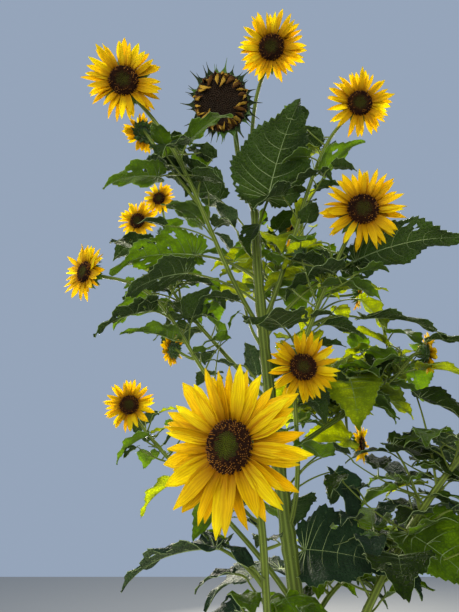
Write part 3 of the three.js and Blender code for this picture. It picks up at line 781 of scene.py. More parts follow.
def stored(shape, name, value, domain="POINT"):
    values = {"Geometry": shape, "Name": name, "Value": value}
    return node(shape.id_data, "GeometryNodeStoreNamedAttribute", values, data_type="FLOAT", domain=domain)[0]


def readBack(tree, name):
    return node(tree, "GeometryNodeInputNamedAttribute", {"Name": name}, data_type="FLOAT")[0]


def realized(shape):
    return node(shape.id_data, "GeometryNodeRealizeInstances", shape)[0]


def smoothed(shape):
    return node(shape.id_data, "GeometryNodeSetShadeSmooth", {"Geometry": shape, "Shade Smooth": True})[0]


def finished(shape, finish, chosen=None):
    values = {"Geometry": shape, "Material": finish, "Selection": chosen}
    return node(shape.id_data, "GeometryNodeSetMaterial", values)[0]


def scattered(spots, shape, turn, size, **more):
    values = {"Points": spots, "Instance": shape, "Rotation": turn, "Scale": size, **more}
    return node(spots.id_data, "GeometryNodeInstanceOnPoints", values)[0]


def aroundCircle(tree, angle, radius, height):
    return node(tree, "ShaderNodeCombineXYZ", times(calc("COSINE", angle), radius),
                times(calc("SINE", angle), radius), height)[0]


# Skin of a stem along a line that carries its girth: ribbed lengthwise, a little knobbly
def stemSkinTree():
    tree, given, out = shapeTree("stemSkin", {
        "Sides": 24, "Ribs": 8.0, "Rib Depth": 0.05, "Knobs": 0.12, "Knob Scale": 45.0, "Finish": "Material",
    })
    line = node(tree, "GeometryNodeMeshToCurve", given["Geometry"])[0]
    girth = readBack(tree, "girth")
    ring = node(tree, "GeometryNodeCurvePrimitiveCircle", {"Resolution": given["Sides"], "Radius": 1.0})[0]
    ring = stored(ring, "around", node(tree, "GeometryNodeSplineParameter")[0])
    shape = {"Curve": line, "Profile Curve": ring, "Scale": girth, "Fill Caps": True}
    skin = node(tree, "GeometryNodeCurveToMesh", shape)[0]
    wave = calc("SINE", times(readBack(tree, "around"), given["Ribs"], 2 * math.pi))
    skin = stored(skin, "rib", calc("MULTIPLY_ADD", wave, 0.5, 0.5))
    noise = node(tree, "ShaderNodeTexNoise", {"Scale": given["Knob Scale"], "Detail": 2.0})[0]
    knobs = times(calc("SUBTRACT", noise, 0.5), given["Knobs"])
    rise = times(plus(times(wave, given["Rib Depth"]), knobs), girth)
    offset = scaled(node(tree, "GeometryNodeInputNormal")[0], rise)
    skin = node(tree, "GeometryNodeSetPosition", {"Geometry": skin, "Offset": offset})[0]
    here = node(tree, "ShaderNodeSeparateXYZ", node(tree, "GeometryNodeInputPosition")[0])
    level = calc("MAXIMUM", here[2], 0.0)  # nothing reaches below the ground
    above = node(tree, "ShaderNodeCombineXYZ", here[0], here[1], level)[0]
    skin = node(tree, "GeometryNodeSetPosition", {"Geometry": skin, "Position": above})[0]
    tree.links.new(finished(smoothed(skin), given["Finish"]), out[0])
    return tree


bristleVary = (0.5, 1.3)


# Bristles that stand on a stem's skin
def bristleTree():
    tree, given, out = shapeTree("bristles", {
        "Density": 20000.0, "Length": 0.0025, "Thickness": 0.09, "Splay": 0.6, "Lowest": 0.004, "Seed": 1,
        "Finish": "Material",
    })
    height = node(tree, "ShaderNodeSeparateXYZ", node(tree, "GeometryNodeInputPosition")[0])[2]
    spots = node(tree, "GeometryNodeDistributePointsOnFaces", {
        "Mesh": given["Geometry"], "Selection": calc("GREATER_THAN", height, given["Lowest"]),
        "Density": given["Density"], "Seed": given["Seed"],
    })
    hair = node(tree, "GeometryNodeMeshCone", {
        "Vertices": 3, "Radius Top": 0.0, "Radius Bottom": given["Thickness"], "Depth": 1.0,
    })[0]
    ends = {0: (-1.0, -1.0, -1.0), 1: (1.0, 1.0, 1.0), "Seed": given["Seed"]}
    lean = scaled(node(tree, "FunctionNodeRandomValue", ends, data_type="FLOAT_VECTOR")[0], given["Splay"])
    aim = node(tree, "ShaderNodeVectorMath", spots["Normal"], lean, operation="ADD")[0]
    turn = node(tree, "FunctionNodeAlignRotationToVector", {"Vector": aim}, axis="Z")[0]
    size = times(given["Length"], randomBetween(*bristleVary, given["Seed"]))
    hairs = smoothed(realized(scattered(spots["Points"], hair, turn, size)))
    tree.links.new(finished(hairs, given["Finish"]), out[0])
    return tree


# A ring of blades round a disc, dealt two finishes
def bladeRingTree():
    tree, given, out = shapeTree("bladeRing", {
        "Blades": "Collection", "Kinds": 6, "Count": 16, "Root Radius": 0.03, "Root Height": 0.0,
        "Length": 0.06, "Length Spread": 0.1, "Width": 1.0, "Lean": 0.0, "Lean Spread": 0.2,
        "Roll Spread": 0.2, "Swing": 0.2, "Turn": 0.0, "Seed": 1,
        "Finish": "Material", "Second Finish": "Material", "Second Share": 0.4,
    })
    shifts = {"Swing": 100.0, "Lean Spread": 200.0, "Roll Spread": 300.0, "Length Spread": 400.0}
    swing, lean, roll, longer = (
        times(randomBetween(-1.0, 1.0, plus(given["Seed"], shift)), given[label])
        for label, shift in shifts.items()
    )
    place = plus(node(tree, "GeometryNodeInputIndex")[0], swing)
    angle = plus(times(place, calc("DIVIDE", 2 * math.pi, given["Count"])), given["Turn"])
    root = aroundCircle(tree, angle, given["Root Radius"], given["Root Height"])
    spots = node(tree, "GeometryNodePoints", {"Count": given["Count"], "Position": root})[0]
    turn = node(tree, "ShaderNodeCombineXYZ", roll, times(plus(given["Lean"], lean), -1.0), angle)[0]
    length = times(given["Length"], plus(longer, 1.0))
    size = node(tree, "ShaderNodeCombineXYZ", length, times(length, given["Width"]), length)[0]
    kit = {"Collection": given["Blades"], "Separate Children": True, "Reset Children": True}
    last = calc("SUBTRACT", given["Kinds"], 1.0)
    which = randomBetween(0, last, plus(given["Seed"], 500.0), whole=True)
    pick = {"Pick Instance": True, "Instance Index": which}
    blades = scattered(spots, node(tree, "GeometryNodeCollectionInfo", kit)[0], turn, size, **pick)
    blades = stored(blades, "deal", randomBetween(0.0, 1.0, plus(given["Seed"], 600.0)), "INSTANCE")
    blades = finished(realized(blades), given["Finish"])
    chosen = calc("LESS_THAN", readBack(tree, "deal"), given["Second Share"])
    tree.links.new(finished(smoothed(blades), given["Second Finish"], chosen), out[0])
    return tree


# Florets in a golden spiral over a dome: closed buds in the middle, open ones towards the rim. The powers
# of the share outwards set how soon the dome falls, the dip fades and the florets lean
floretRule = {
    "fallPower": 4.0, "dipPower": 2.0, "splayPower": 3.0, "splayVary": 0.12, "sizes": (0.85, 1.2),
    "edgeVary": 0.04, "greenShare": 0.86, "greenVary": 0.24, "betweenWidth": 0.16,
}


def floretTree():
    rule = floretRule
    tree, given, out = shapeTree("florets", {
        "Bud": "Object", "Open": "Object", "Count": 260, "Radius": 0.03, "Dome": 0.008, "Dip": 0.35,
        "Size": 0.003, "Bud Share": 0.5, "Splay": 0.5, "Seed": 1, "Bud Finish": "Material",
        "Between Finish": "Material", "Dark Finish": "Material", "Dark Share": 0.6,
    })
    index = node(tree, "GeometryNodeInputIndex")[0]
    share = calc("SQRT", calc("DIVIDE", plus(index, 0.5), given["Count"]))
    angle = times(index, math.radians(growth["goldenTurn"]))
    dip = times(calc("POWER", calc("SUBTRACT", 1.0, share), rule["dipPower"]), given["Dip"])
    fall = times(calc("POWER", share, rule["fallPower"]), -1.0)
    height = times(plus(calc("SUBTRACT", fall, dip), 1.0), given["Dome"])
    place = aroundCircle(tree, angle, times(share, given["Radius"]), height)
    spots = node(tree, "GeometryNodePoints", {"Count": given["Count"], "Position": place})[0]
    spots = stored(stored(spots, "share", share), "chance", randomBetween(0.0, 1.0, given["Seed"]))
    kept, drawn = readBack(tree, "share"), readBack(tree, "chance")
    splay = times(calc("POWER", kept, rule["splayPower"]), given["Splay"])
    splay = plus(splay, randomBetween(-rule["splayVary"], rule["splayVary"], given["Seed"]))
    turn = node(tree, "ShaderNodeCombineXYZ", 0.0, splay, angle)[0]
    size = times(given["Size"], randomBetween(*rule["sizes"], given["Seed"]))
    edge = plus(given["Bud Share"], randomBetween(-rule["edgeVary"], rule["edgeVary"], given["Seed"]))
    inside = calc("LESS_THAN", kept, edge)
    buds, opened = (
        realized(scattered(spots, node(tree, "GeometryNodeObjectInfo", {"Object": given[label]})["Geometry"],
                           turn, size, Selection=chosen))
        for label, chosen in (("Bud", inside), ("Open", calc("SUBTRACT", 1.0, inside)))
    )
    border = calc("MULTIPLY_ADD", given["Bud Share"], rule["greenShare"], times(drawn, -rule["greenVary"]))
    for wider, finish in ((rule["betweenWidth"], "Between Finish"), (0.0, "Bud Finish")):
        buds = finished(buds, given[finish], calc("LESS_THAN", kept, plus(border, wider)))
    opened = finished(opened, given["Dark Finish"], calc("LESS_THAN", drawn, given["Dark Share"]))
    both = tree.nodes.new("GeometryNodeJoinGeometry")
    for part in (buds, opened):
        tree.links.new(part, both.inputs[0])
    tree.links.new(smoothed(both.outputs[0]), out[0])
    return tree


# Runs a tree on a mesh with its inputs set, and gives back a plain mesh
def grow(tree, name, mesh=None, **inputs):
    host = bpy.data.objects.new(name, mesh or bpy.data.meshes.new(name))
    link(host)
    change = host.modifiers.new(tree.name, "NODES")
    change.node_group = tree
    wanted = {key.lower(): value for key, value in inputs.items()}
    for item in tree.interface.items_tree:
        key = item.name.replace(" ", "").lower()
        if item.in_out == "INPUT" and key in wanted:
            change[item.identifier] = wanted.pop(key)
    if wanted:
        raise ValueError(f"{tree.name} has no input named {sorted(wanted)}")
    host.update_tag()
    view = bpy.context.evaluated_depsgraph_get()
    result = bpy.data.meshes.new_from_object(host.evaluated_get(view))
    host.modifiers.remove(change)
    bpy.data.objects.remove(host)
    result.name = name
    return result


def joinMeshes(name, meshes):
    if len(meshes) == 1:
        return meshes[0]
    parts = [bpy.data.objects.new(name, mesh) for mesh in meshes]
    for part in parts:
        link(part)
    with bpy.context.temp_override(active_object=parts[0], selected_editable_objects=parts):
        bpy.ops.object.join()
    mesh = parts[0].data
    bpy.data.objects.remove(parts[0])
    return mesh


def strandMesh(name, strands):
    points, edges, girth = [], [], []
    for line, radii in strands:
        edges += [(len(girth) + i, len(girth) + i + 1) for i in range(len(line) - 1)]
        points.extend(line * metres)
        girth.extend(radii * metres)
    mesh = bpy.data.meshes.new(name)
    mesh.from_pydata(points, edges, [])
    mesh.attributes.new("girth", "FLOAT", "POINT").data.foreach_set("value", girth)
    return mesh


# Finishes, from two shader groups that get their own values in each
def mixColour(factor, first, second):
    tree = next(value.id_data for value in (factor, first, second) if isinstance(value, bpy.types.NodeSocket))
    return node(tree, "ShaderNodeMix", {0: factor, 6: first, 7: second}, data_type="RGBA")[2]


def mapTo(value, low, high, newLow=0.0, newHigh=1.0):
    return node(value.id_data, "ShaderNodeMapRange", value, low, high, newLow, newHigh)[0]


def noise(where, scale, detail=2.0, result=0):
    values = {"Vector": where, "Scale": scale, "Detail": detail}
    return node(where.id_data, "ShaderNodeTexNoise", values)[result]


def cells(where, scale, edges=True):
    kind = "DISTANCE_TO_EDGE" if edges else "F1"
    return node(where.id_data, "ShaderNodeTexVoronoi", {"Vector": where, "Scale": scale}, feature=kind)


cellWander = 0.006


def warped(where, scale):
    away = scaled(noise(where, scale, result="Color"), cellWander)
    return node(where.id_data, "ShaderNodeVectorMath", where, away, operation="ADD")[0]


# Where each kind of noise turns from dark to light, and how much the patches, cells and fine grain count
skinRule = {
    "patchDetail": 3.0, "patch": (0.35, 0.65), "patchShare": 0.6, "puff": (0.0, 0.3), "shade": (0.1, 0.95),
    "line": (0.0, 0.5), "grainScale": 3.0, "grain": (0.3, 0.7), "puffRise": 0.8, "grainRise": 0.2,
}


def livingSkinGroup():
    rule = skinRule
    tree, given, out = newTree("livingSkin", "Shader", {
        "Light": (0.1, 0.2, 0.03, 1), "Dark": (0.04, 0.1, 0.02, 1), "Net": (0.3, 0.4, 0.12, 1),
        "Patch Scale": 14.0, "Cell Scale": 170.0, "Net Strength": 0.35, "Puff Light": 0.8,
        "Rough Low": 0.45, "Rough High": 0.65,
    }, {"Color": "Color", "Roughness": "Float", "Height": "Float"})
    here = node(tree, "ShaderNodeTexCoord")["Object"]
    patch = noise(here, given["Patch Scale"], rule["patchDetail"])
    here = warped(here, given["Cell Scale"])
    puff = mapTo(cells(here, given["Cell Scale"])[0], *rule["puff"])
    lit = node(tree, "ShaderNodeSeparateColor", cells(here, given["Cell Scale"], False)["Color"])[0]
    broad = times(mapTo(patch, *rule["patch"]), rule["patchShare"])
    shade = plus(broad, times(lit, puff, given["Puff Light"]))
    colour = mixColour(mapTo(shade, *rule["shade"]), given["Dark"], given["Light"])
    line = times(mapTo(puff, *rule["line"], 1.0, 0.0), given["Net Strength"])
    grain = noise(here, times(given["Cell Scale"], rule["grainScale"]))
    tree.links.new(mixColour(line, colour, given["Net"]), out["Color"])
    rough = mapTo(grain, *rule["grain"], given["Rough Low"], given["Rough High"])
    tree.links.new(rough, out["Roughness"])
    height = plus(times(puff, rule["puffRise"]), times(grain, rule["grainRise"]))
    tree.links.new(height, out["Height"])
    return tree


streakRule = {"tipFrom": 0.6, "wanderScale": 60.0, "wanderRise": 0.4}


# Colour of a blade from root to tip with lengthwise streaks; on the petals the dark root colour is partly
# painted shade by the disc
def streakGroup():
    rule = streakRule
    tree, given, out = newTree("streaks", "Shader", {
        "Across": 0.5, "Along": 0.5, "Root": (0.6, 0.2, 0.01, 1), "Body": (0.85, 0.5, 0.02, 1),
        "Tip": (0.9, 0.6, 0.05, 1), "Streaks": 7.0, "Depth": 0.3, "Root Reach": 0.45,
    }, {"Color": "Color", "Height": "Float"})
    colour = mixColour(mapTo(given["Along"], 0.0, given["Root Reach"]), given["Root"], given["Body"])
    colour = mixColour(mapTo(given["Along"], rule["tipFrom"], 1.0), colour, given["Tip"])
    wander = noise(node(tree, "ShaderNodeTexCoord")["Object"], rule["wanderScale"])
    shifted = plus(times(given["Across"], given["Streaks"]), wander)
    wave = mapTo(calc("SINE", times(shifted, 2 * math.pi)), -1.0, 1.0)
    tree.links.new(mixColour(times(wave, given["Depth"]), colour, given["Root"]), out["Color"])
    tree.links.new(plus(wave, times(wander, rule["wanderRise"])), out["Height"])
    return tree


livingSkin, streaks = livingSkinGroup(), streakGroup()


def newFinish(name):
    finish = bpy.data.materials.new(name)
    finish.use_nodes = True
    finish.node_tree.nodes.clear()
    return finish, finish.node_tree


def colourOf(r, g, b):
    return (r, g, b, 1.0)


# Light through a leaf is mottled by its cells and by broad patches
glowRule = {
    "cellEdge": 0.25, "edgeLight": 0.6, "patchScale": 30.0, "patch": (0.3, 0.6), "patchLight": 0.35,
    "dim": 0.3,
}


def leafGlow(tree, colour, cellScale):
    rule = glowRule
    here = node(tree, "ShaderNodeTexCoord")["Object"]
    edges = cells(warped(here, cellScale), cellScale)[0]
    cellLight = mapTo(edges, 0.0, rule["cellEdge"], rule["edgeLight"])
    patchLight = mapTo(noise(here, rule["patchScale"]), *rule["patch"], rule["patchLight"])
    dim = colourOf(*(rule["dim"] * c for c in colour))
    return mixColour(times(cellLight, patchLight), dim, colourOf(*colour))


def closeFinish(tree, shader, glow=None, share=0.0):
    if glow is not None:
        through = node(tree, "ShaderNodeBsdfTranslucent", {"Color": glow})[0]
        shader = node(tree, "ShaderNodeMixShader", share, shader, through)[0]
    node(tree, "ShaderNodeOutputMaterial", {"Surface": shader})


def surfaceOf(tree, colour, rough, height, bump, relief=0.0006, specular=0.06, sheen=0.02, sheenRough=0.4):
    normal = node(tree, "ShaderNodeBump", {"Height": height, "Strength": bump, "Distance": relief})[0]
    return node(tree, "ShaderNodeBsdfPrincipled", {
        "Base Color": colour, "Roughness": rough, "Normal": normal, "Specular IOR Level": specular,
        "Sheen Weight": sheen, "Sheen Roughness": sheenRough,
    })[0]


def skinNode(tree, light, dark, net, patchScale, cellScale, netStrength, rough):
    return node(tree, "ShaderNodeGroup", {
        "Light": colourOf(*light), "Dark": colourOf(*dark), "Net": colourOf(*net), "Patch Scale": patchScale,
        "Cell Scale": cellScale, "Net Strength": netStrength, "Rough Low": rough[0], "Rough High": rough[1],
    }, node_tree=livingSkin)


def leafFinish(name, light, dark, net, rough=(0.45, 0.65), netStrength=0.35, glow=None, glowShare=0.4,
               bump=0.5, sheen=0.02, patchScale=14.0, cellScale=170.0, relief=0.0008):
    finish, tree = newFinish(name)
    skin = skinNode(tree, light, dark, net, patchScale, cellScale, netStrength, rough)
    shader = surfaceOf(tree, skin["Color"], skin["Roughness"], skin["Height"], bump, relief,
                       sheen=sheen, sheenRough=0.5)
    closeFinish(tree, shader, glow and leafGlow(tree, glow, cellScale), glowShare)
    return finish


def petalFinish(name, root, body, tip, glow, glowShare=0.5, glowMix=0.5, depth=0.36, reach=0.45,
                rough=0.55, bump=0.24):
    finish, tree = newFinish(name)
    flat = node(tree, "ShaderNodeSeparateXYZ", node(tree, "ShaderNodeUVMap", uv_map="flat")[0])
    made = node(tree, "ShaderNodeGroup", {
        "Across": flat[0], "Along": flat[1], "Root": colourOf(*root), "Body": colourOf(*body),
        "Tip": colourOf(*tip), "Streaks": 6.0, "Depth": depth, "Root Reach": reach,
    }, node_tree=streaks)
    shader = surfaceOf(tree, made["Color"], rough, made["Height"], bump, specular=0.1)
    closeFinish(tree, shader, mixColour(glowMix, colourOf(*glow), made["Color"]), glowShare)
    return finish


def stemFinish(name, ribLight, ribDark, blotch, shade=0.75, ribEdge=(0.3, 0.95), bump=0.4):
    finish, tree = newFinish(name)
    rib = node(tree, "ShaderNodeAttribute", attribute_name="rib")["Fac"]
    skin = skinNode(tree, ribDark, [shade * c for c in ribDark], blotch, patchScale=24.0, cellScale=260.0,
                    netStrength=0.2, rough=(0.45, 0.7))
    colour = mixColour(mapTo(rib, *ribEdge), skin["Color"], colourOf(*ribLight))
    shader = surfaceOf(tree, colour, skin["Roughness"], skin["Height"], bump, specular=0.14, sheen=0.03)
    closeFinish(tree, shader)
    return finish


# Each tone of leaf: light and dark patches above and below, then the veins, how rough it is, the light
# through it and that light's share
leafColours = {
    # A dark green, partly painted shade
    "deep": dict(
        top=((0.03, 0.06, 0.002), (0.006, 0.016, 0.001)), under=((0.06, 0.11, 0.018), (0.03, 0.062, 0.009)),
        net=(0.075, 0.115, 0.015), rough=(0.42, 0.6), glow=(0.18, 0.3, 0.006), share=0.28,
    ),
    "mid": dict(
        top=((0.075, 0.14, 0.007), (0.018, 0.042, 0.002)), under=((0.11, 0.19, 0.025), (0.06, 0.12, 0.014)),
        net=(0.13, 0.21, 0.03), rough=(0.42, 0.6), glow=(0.56, 0.78, 0.012), share=0.46,
    ),
    # Painted backlight: a lit copy of the leaf green
    "bright": dict(
        top=((0.22, 0.34, 0.012), (0.085, 0.165, 0.006)), under=((0.26, 0.36, 0.025), (0.13, 0.21, 0.014)),
        net=(0.3, 0.4, 0.05), rough=(0.45, 0.65), glow=(0.91, 0.98, 0.02), share=0.6,
    ),
    "cool": dict(
        top=((0.026, 0.055, 0.024), (0.011, 0.028, 0.012)), under=((0.06, 0.1, 0.035), (0.033, 0.06, 0.02)),
        net=(0.06, 0.1, 0.045), rough=(0.48, 0.62), glow=(0.12, 0.3, 0.04), share=0.2,
    ),
}
underLook = dict(net=(0.24, 0.33, 0.12), rough=(0.6, 0.8), netStrength=0.3, sheen=0.06)
leafTones = []
for side in ("top", "under"):
    for name, tone in leafColours.items():
        look = underLook if side == "under" else dict(net=tone["net"], rough=tone["rough"], netStrength=0.25)
        leafTones.append(leafFinish(
            f"leaf_{name}_{side}", *tone[side], **look, glow=tone["glow"], glowShare=tone["share"], bump=1.0,
            patchScale=11.0, cellScale=135.0, relief=0.0028,
        ))

veinFinish = leafFinish("leafVein", (0.4, 0.5, 0.2), (0.28, 0.38, 0.13), (0.5, 0.58, 0.3), bump=0.2,
                        glow=(0.4, 0.5, 0.12), glowShare=0.15, netStrength=0.1)
bractFinish = leafFinish("bractGreen", (0.12, 0.22, 0.04), (0.05, 0.11, 0.02), (0.2, 0.3, 0.08), bump=0.3,
                         glow=(0.3, 0.5, 0.05), glowShare=0.25, sheen=0.3, cellScale=320.0)
spikeFinish = leafFinish("spikeDark", (0.03, 0.06, 0.015), (0.012, 0.024, 0.008), (0.08, 0.09, 0.03),
                         bump=0.3, sheen=0.2, cellScale=320.0)
bristleFinish = leafFinish("bristlePale", (0.75, 0.78, 0.58), (0.6, 0.62, 0.42), (0.8, 0.8, 0.6), bump=0.0,
                           glow=(0.8, 0.8, 0.55), glowShare=0.5, netStrength=0.0)
stemSkin = stemFinish("stemGreen", (0.155, 0.205, 0.03), (0.08, 0.118, 0.015), (0.14, 0.115, 0.03))
# The upper stems and leaf stalks are a lighter green than the main stem and boughs, partly as painted rim
# light
stalkSkin = stemFinish("stalkGreen", (0.2, 0.265, 0.04), (0.105, 0.15, 0.018), (0.18, 0.15, 0.035))

# Petals and withered rays: root, body and tip, then the light through them. The dark amber root of each petal
# is partly its own deeper orange and partly painted shade by the disc
petalGold = petalFinish("petalGold", (0.38, 0.12, 0.002), (0.88, 0.61, 0.003), (0.97, 0.79, 0.006),
                        (1.0, 0.86, 0.004), reach=0.5)
# A painted lit copy of the gold: lighter lemon petals
petalLight = petalFinish("petalLight", (0.5, 0.19, 0.002), (0.96, 0.77, 0.005), (1.0, 0.92, 0.012),
                         (1.0, 0.98, 0.006), reach=0.42)
# A painted shaded copy of the gold: darker amber petals
petalAmber = petalFinish("petalAmber", (0.32, 0.09, 0.002), (0.8, 0.5, 0.002), (0.93, 0.69, 0.004),
                         (1.0, 0.78, 0.004), reach=0.55, depth=0.3)
witheredBrown = petalFinish("witheredBrown", (0.08, 0.034, 0.01), (0.2, 0.09, 0.018), (0.12, 0.05, 0.014),
                            (0.45, 0.18, 0.03), glowShare=0.2, depth=0.6, rough=0.85)
witheredOchre = petalFinish("witheredOchre", (0.3, 0.14, 0.02), (0.68, 0.44, 0.05), (0.4, 0.22, 0.03),
                            (0.85, 0.55, 0.04), glowShare=0.25, depth=0.6, rough=0.8)


# Florets and seeds: light, dark and the net between their cells
def discFinish(name, light, dark, net, bump=0.2, cellScale=600.0, **more):
    return leafFinish(name, light, dark, net, bump=bump, cellScale=cellScale, **more)


floretBrown = discFinish("floretBrown", (0.068, 0.025, 0.006), (0.024, 0.009, 0.003), (0.12, 0.045, 0.01),
                         rough=(0.55, 0.75), netStrength=0.2)
floretDark = discFinish("floretDark", (0.03, 0.009, 0.004), (0.01, 0.003, 0.002), (0.06, 0.02, 0.006),
                        rough=(0.55, 0.75), netStrength=0.2)
antherGold = discFinish("antherGold", (0.5, 0.19, 0.02), (0.26, 0.085, 0.01), (0.75, 0.4, 0.05), bump=0.1)
budGreen = discFinish("budGreen", (0.068, 0.09, 0.004), (0.032, 0.042, 0.003), (0.17, 0.15, 0.01),
                      patchScale=60.0)
budOlive = discFinish("budOlive", (0.05, 0.052, 0.006), (0.026, 0.026, 0.004), (0.12, 0.09, 0.01),
                      patchScale=60.0)
budShade = discFinish("budShade", (0.042, 0.026, 0.005), (0.018, 0.011, 0.003), (0.09, 0.05, 0.008),
                      patchScale=60.0)
seedDark = discFinish("seedDark", (0.035, 0.02, 0.012), (0.012, 0.008, 0.006), (0.09, 0.06, 0.03), bump=0.3,
                      rough=(0.5, 0.7), cellScale=500.0)
print("finishes ready")


# Stems, boughs, upper stems and leaf stalks: sides, ribs, depth of rib, knobs and their scale
stemLook = {
    "main": (45, 9.0, 0.018, 0.12, 40.0), "bough": (24, 6.0, 0.03, 0.16, 55.0),
    "upper": (24, 6.0, 0.035, 0.16, 60.0), "stalk": (8, 3.0, 0.12, 0.12, 90.0),
    "bristlesPerMetre": 13000.0, "bristleLength": 0.0014,
}
skinTree = stemSkinTree()


def growSkin(kind, name, strands, finish):
    sides, ribs, depth, knobs, scale = stemLook[kind]
    return grow(skinTree, name, strandMesh(name + "_lines", strands), sides=sides, ribs=ribs, ribDepth=depth,
                knobs=knobs, knobScale=scale, finish=finish)


# Side twigs with small leaves, kept within the reach of the limb's own mass
twigRule = {
    "perLimb": 8, "last": 0.94, "length": (45, 110), "rise": (15, 60), "sag": 0.12, "radii": (2.4, 1.44),
    "steps": 8, "seed": 33,
    "fuller": {"rear_right": 18, "right_low": 15, "right_middle": 12, "rear_low": 14}, "fullerSize": 1.35,
    "farther": {"rear_right": 18, "right_middle": 8, "rear_high": 6, "right_low": 9},
    "fartherLength": (90, 190), "place": (0.1, 0.9), "turn": (0, 90), "limbSamples": 120, "stemSamples": 200,
    "leaves": 3, "leafSize": (42, 88), "leafStalk": 0.35, "leafSwing": 25, "leafRise": (5, 45),
    "leafPitch": (-35, 30), "leafWidth": (0.6, 0.85), "spare": 12,
    "headClear": 0.6, "viewClear": 0.62, "stemClear": 45, "limbClear": 20,
    "budEvery": 7, "budSize": (22, 30), "budRise": (20, 60), "budless": "front",
}
youngRule = {
    "count": 4, "first": 0.8, "last": 0.97, "length": (30, 58), "lengthRun": (1.25, 0.5), "pitch": (5, 45),
    "stalk": 0.3, "rise": 35, "swing": 60, "width": 0.55,
}

buds, stalkStrands = [], []
stemLine = bezier(mainStem["path"], np.linspace(0, 1, twigRule["stemSamples"]))


def hidesHead(point, head):
    away = point - head["centre"]
    ahead = away @ headFrame(head["facing"])[0]
    aside = math.sqrt(max(away @ away - ahead ** 2, 0))
    near = np.linalg.norm(away) < twigRule["headClear"] * head["size"]
    return near or (ahead > 0 and aside < twigRule["viewClear"] * head["size"])


def hidesLine(point, line, clear):
    away = point - line
    aside = np.hypot(away[:, 0], away[:, 2])
    nearest = aside.argmin()
    return aside[nearest] < clear and away[nearest, 1] < 0


def withinReach(plan, low, high, limbLine):
    inside = all((plan["tip"] > low) & (plan["tip"] < high))
    middle = (plan["base"] + plan["tip"]) / 2
    for spot in (plan["base"], middle, plan["tip"]):
        if hidesLine(spot, stemLine, twigRule["stemClear"]) or any(hidesHead(spot, head) for head in heads):
            return False
    hidden = any(hidesLine(spot, limbLine, twigRule["limbClear"]) for spot in (middle, plan["tip"]))
    return inside and not hidden


def growTwig(name, limb, index, count, lengths, mass, reach, random):
    rule = twigRule
    place = index + random.uniform(*rule["place"])
    share = limb["split"] + (rule["last"] - limb["split"]) * place / count
    root = bezier(limb["path"], share)
    heading = growth["goldenTurn"] * index + random.uniform(*rule["turn"])
    length = random.uniform(*lengths)
    end = root + pointing(heading, random.uniform(*rule["rise"])) * length
    path = [root, (root + end) / 2 - up * length * rule["sag"], end]
    broad = rule["fullerSize"] if name in rule["fuller"] else 1.0
    plans = []
    for k in range(rule["leaves"]):
        swing = random.uniform(-rule["leafSwing"], rule["leafSwing"])
        turn = heading + growth["goldenTurn"] * (k + 1) + swing
        size = random.uniform(*rule["leafSize"]) * broad
        row = (size * rule["leafStalk"], turn, random.uniform(*rule["leafRise"]), size, turn,
               random.uniform(*rule["leafPitch"]), random.uniform(*rule["leafWidth"]), 0)
        plans.append(planLeaf(bezier(path, (k + 1) / rule["leaves"]), row))
    kept = [k for k, plan in enumerate(plans) if withinReach(plan, *reach)]
    if not kept:
        return
    reached = (kept[-1] + 1) / rule["leaves"]
    addStrand(stalkStrands, path, rule["radii"], rule["steps"], end=reached)
    for k in kept:
        addLeaf(plans[k], mass)
    if reached == 1 and int(heading) % rule["budEvery"] == 0 and name != rule["budless"]:
        facing = (heading, random.uniform(*rule["budRise"]))
        buds.append(dict(centre=end, facing=facing, size=random.uniform(*rule["budSize"])))


def growYoungLeaf(limb, index, mass, reach, random):
    rule = youngRule
    share = rule["first"] + (rule["last"] - rule["first"]) * index / rule["count"]
    longer, loss = rule["lengthRun"]
    length = random.uniform(*rule["length"]) * (longer - loss * index / rule["count"])
    heading = growth["goldenTurn"] * index + random.uniform(0, rule["swing"])
    pitch = random.uniform(*rule["pitch"])
    row = (length * rule["stalk"], heading, rule["rise"], length, heading, pitch, rule["width"], 0)
    plan = planLeaf(bezier(limb["path"], share), row)
    if withinReach(plan, *reach):
        addLeaf(plan, mass)


def growTwigs(seed, counts, others, lengths, young):
    random = np.random.default_rng(seed)
    for name, limb in limbs.items():
        leafy = limb["split"] < 1
        mass = "foliage_" + name if leafy else "shoot_high"
        points = solidPoints(mass if leafy else "flower_" + name)
        low, high = points.min(axis=0) - twigRule["spare"], points.max(axis=0) + twigRule["spare"]
        reach = (low, high, bezier(limb["path"], np.linspace(0, 1, twigRule["limbSamples"])))
        count = counts.get(name, others) if leafy else 0
        for i in range(count):
            growTwig(name, limb, i, count, lengths, mass, reach, random)
        for i in range(young):
            growYoungLeaf(limb, i, mass, reach, random)


growTwigs(twigRule["seed"], twigRule["fuller"], twigRule["perLimb"], twigRule["length"], youngRule["count"])
growTwigs(twigRule["seed"] + 1, twigRule["farther"], 0, twigRule["fartherLength"], 0)
print("with twigs:", len(leafPlans), "leaves")

stalkForm = {
    "perLength": 0.017, "least": 1.7, "smallest": 1.0, "smallBelow": 60, "foot": 1.2, "end": 0.75,
    "steps": 8, "longFrom": 120, "longSteps": 12,
}
for plan in leafPlans:
    least = stalkForm["least" if plan["length"] > stalkForm["smallBelow"] else "smallest"]
    girth = max(least, stalkForm["perLength"] * plan["length"])
    steps = stalkForm["longSteps" if plan["length"] > stalkForm["longFrom"] else "steps"]
    addStrand(stalkStrands, plan["stalk"], (girth * stalkForm["foot"], girth * stalkForm["end"]), steps)

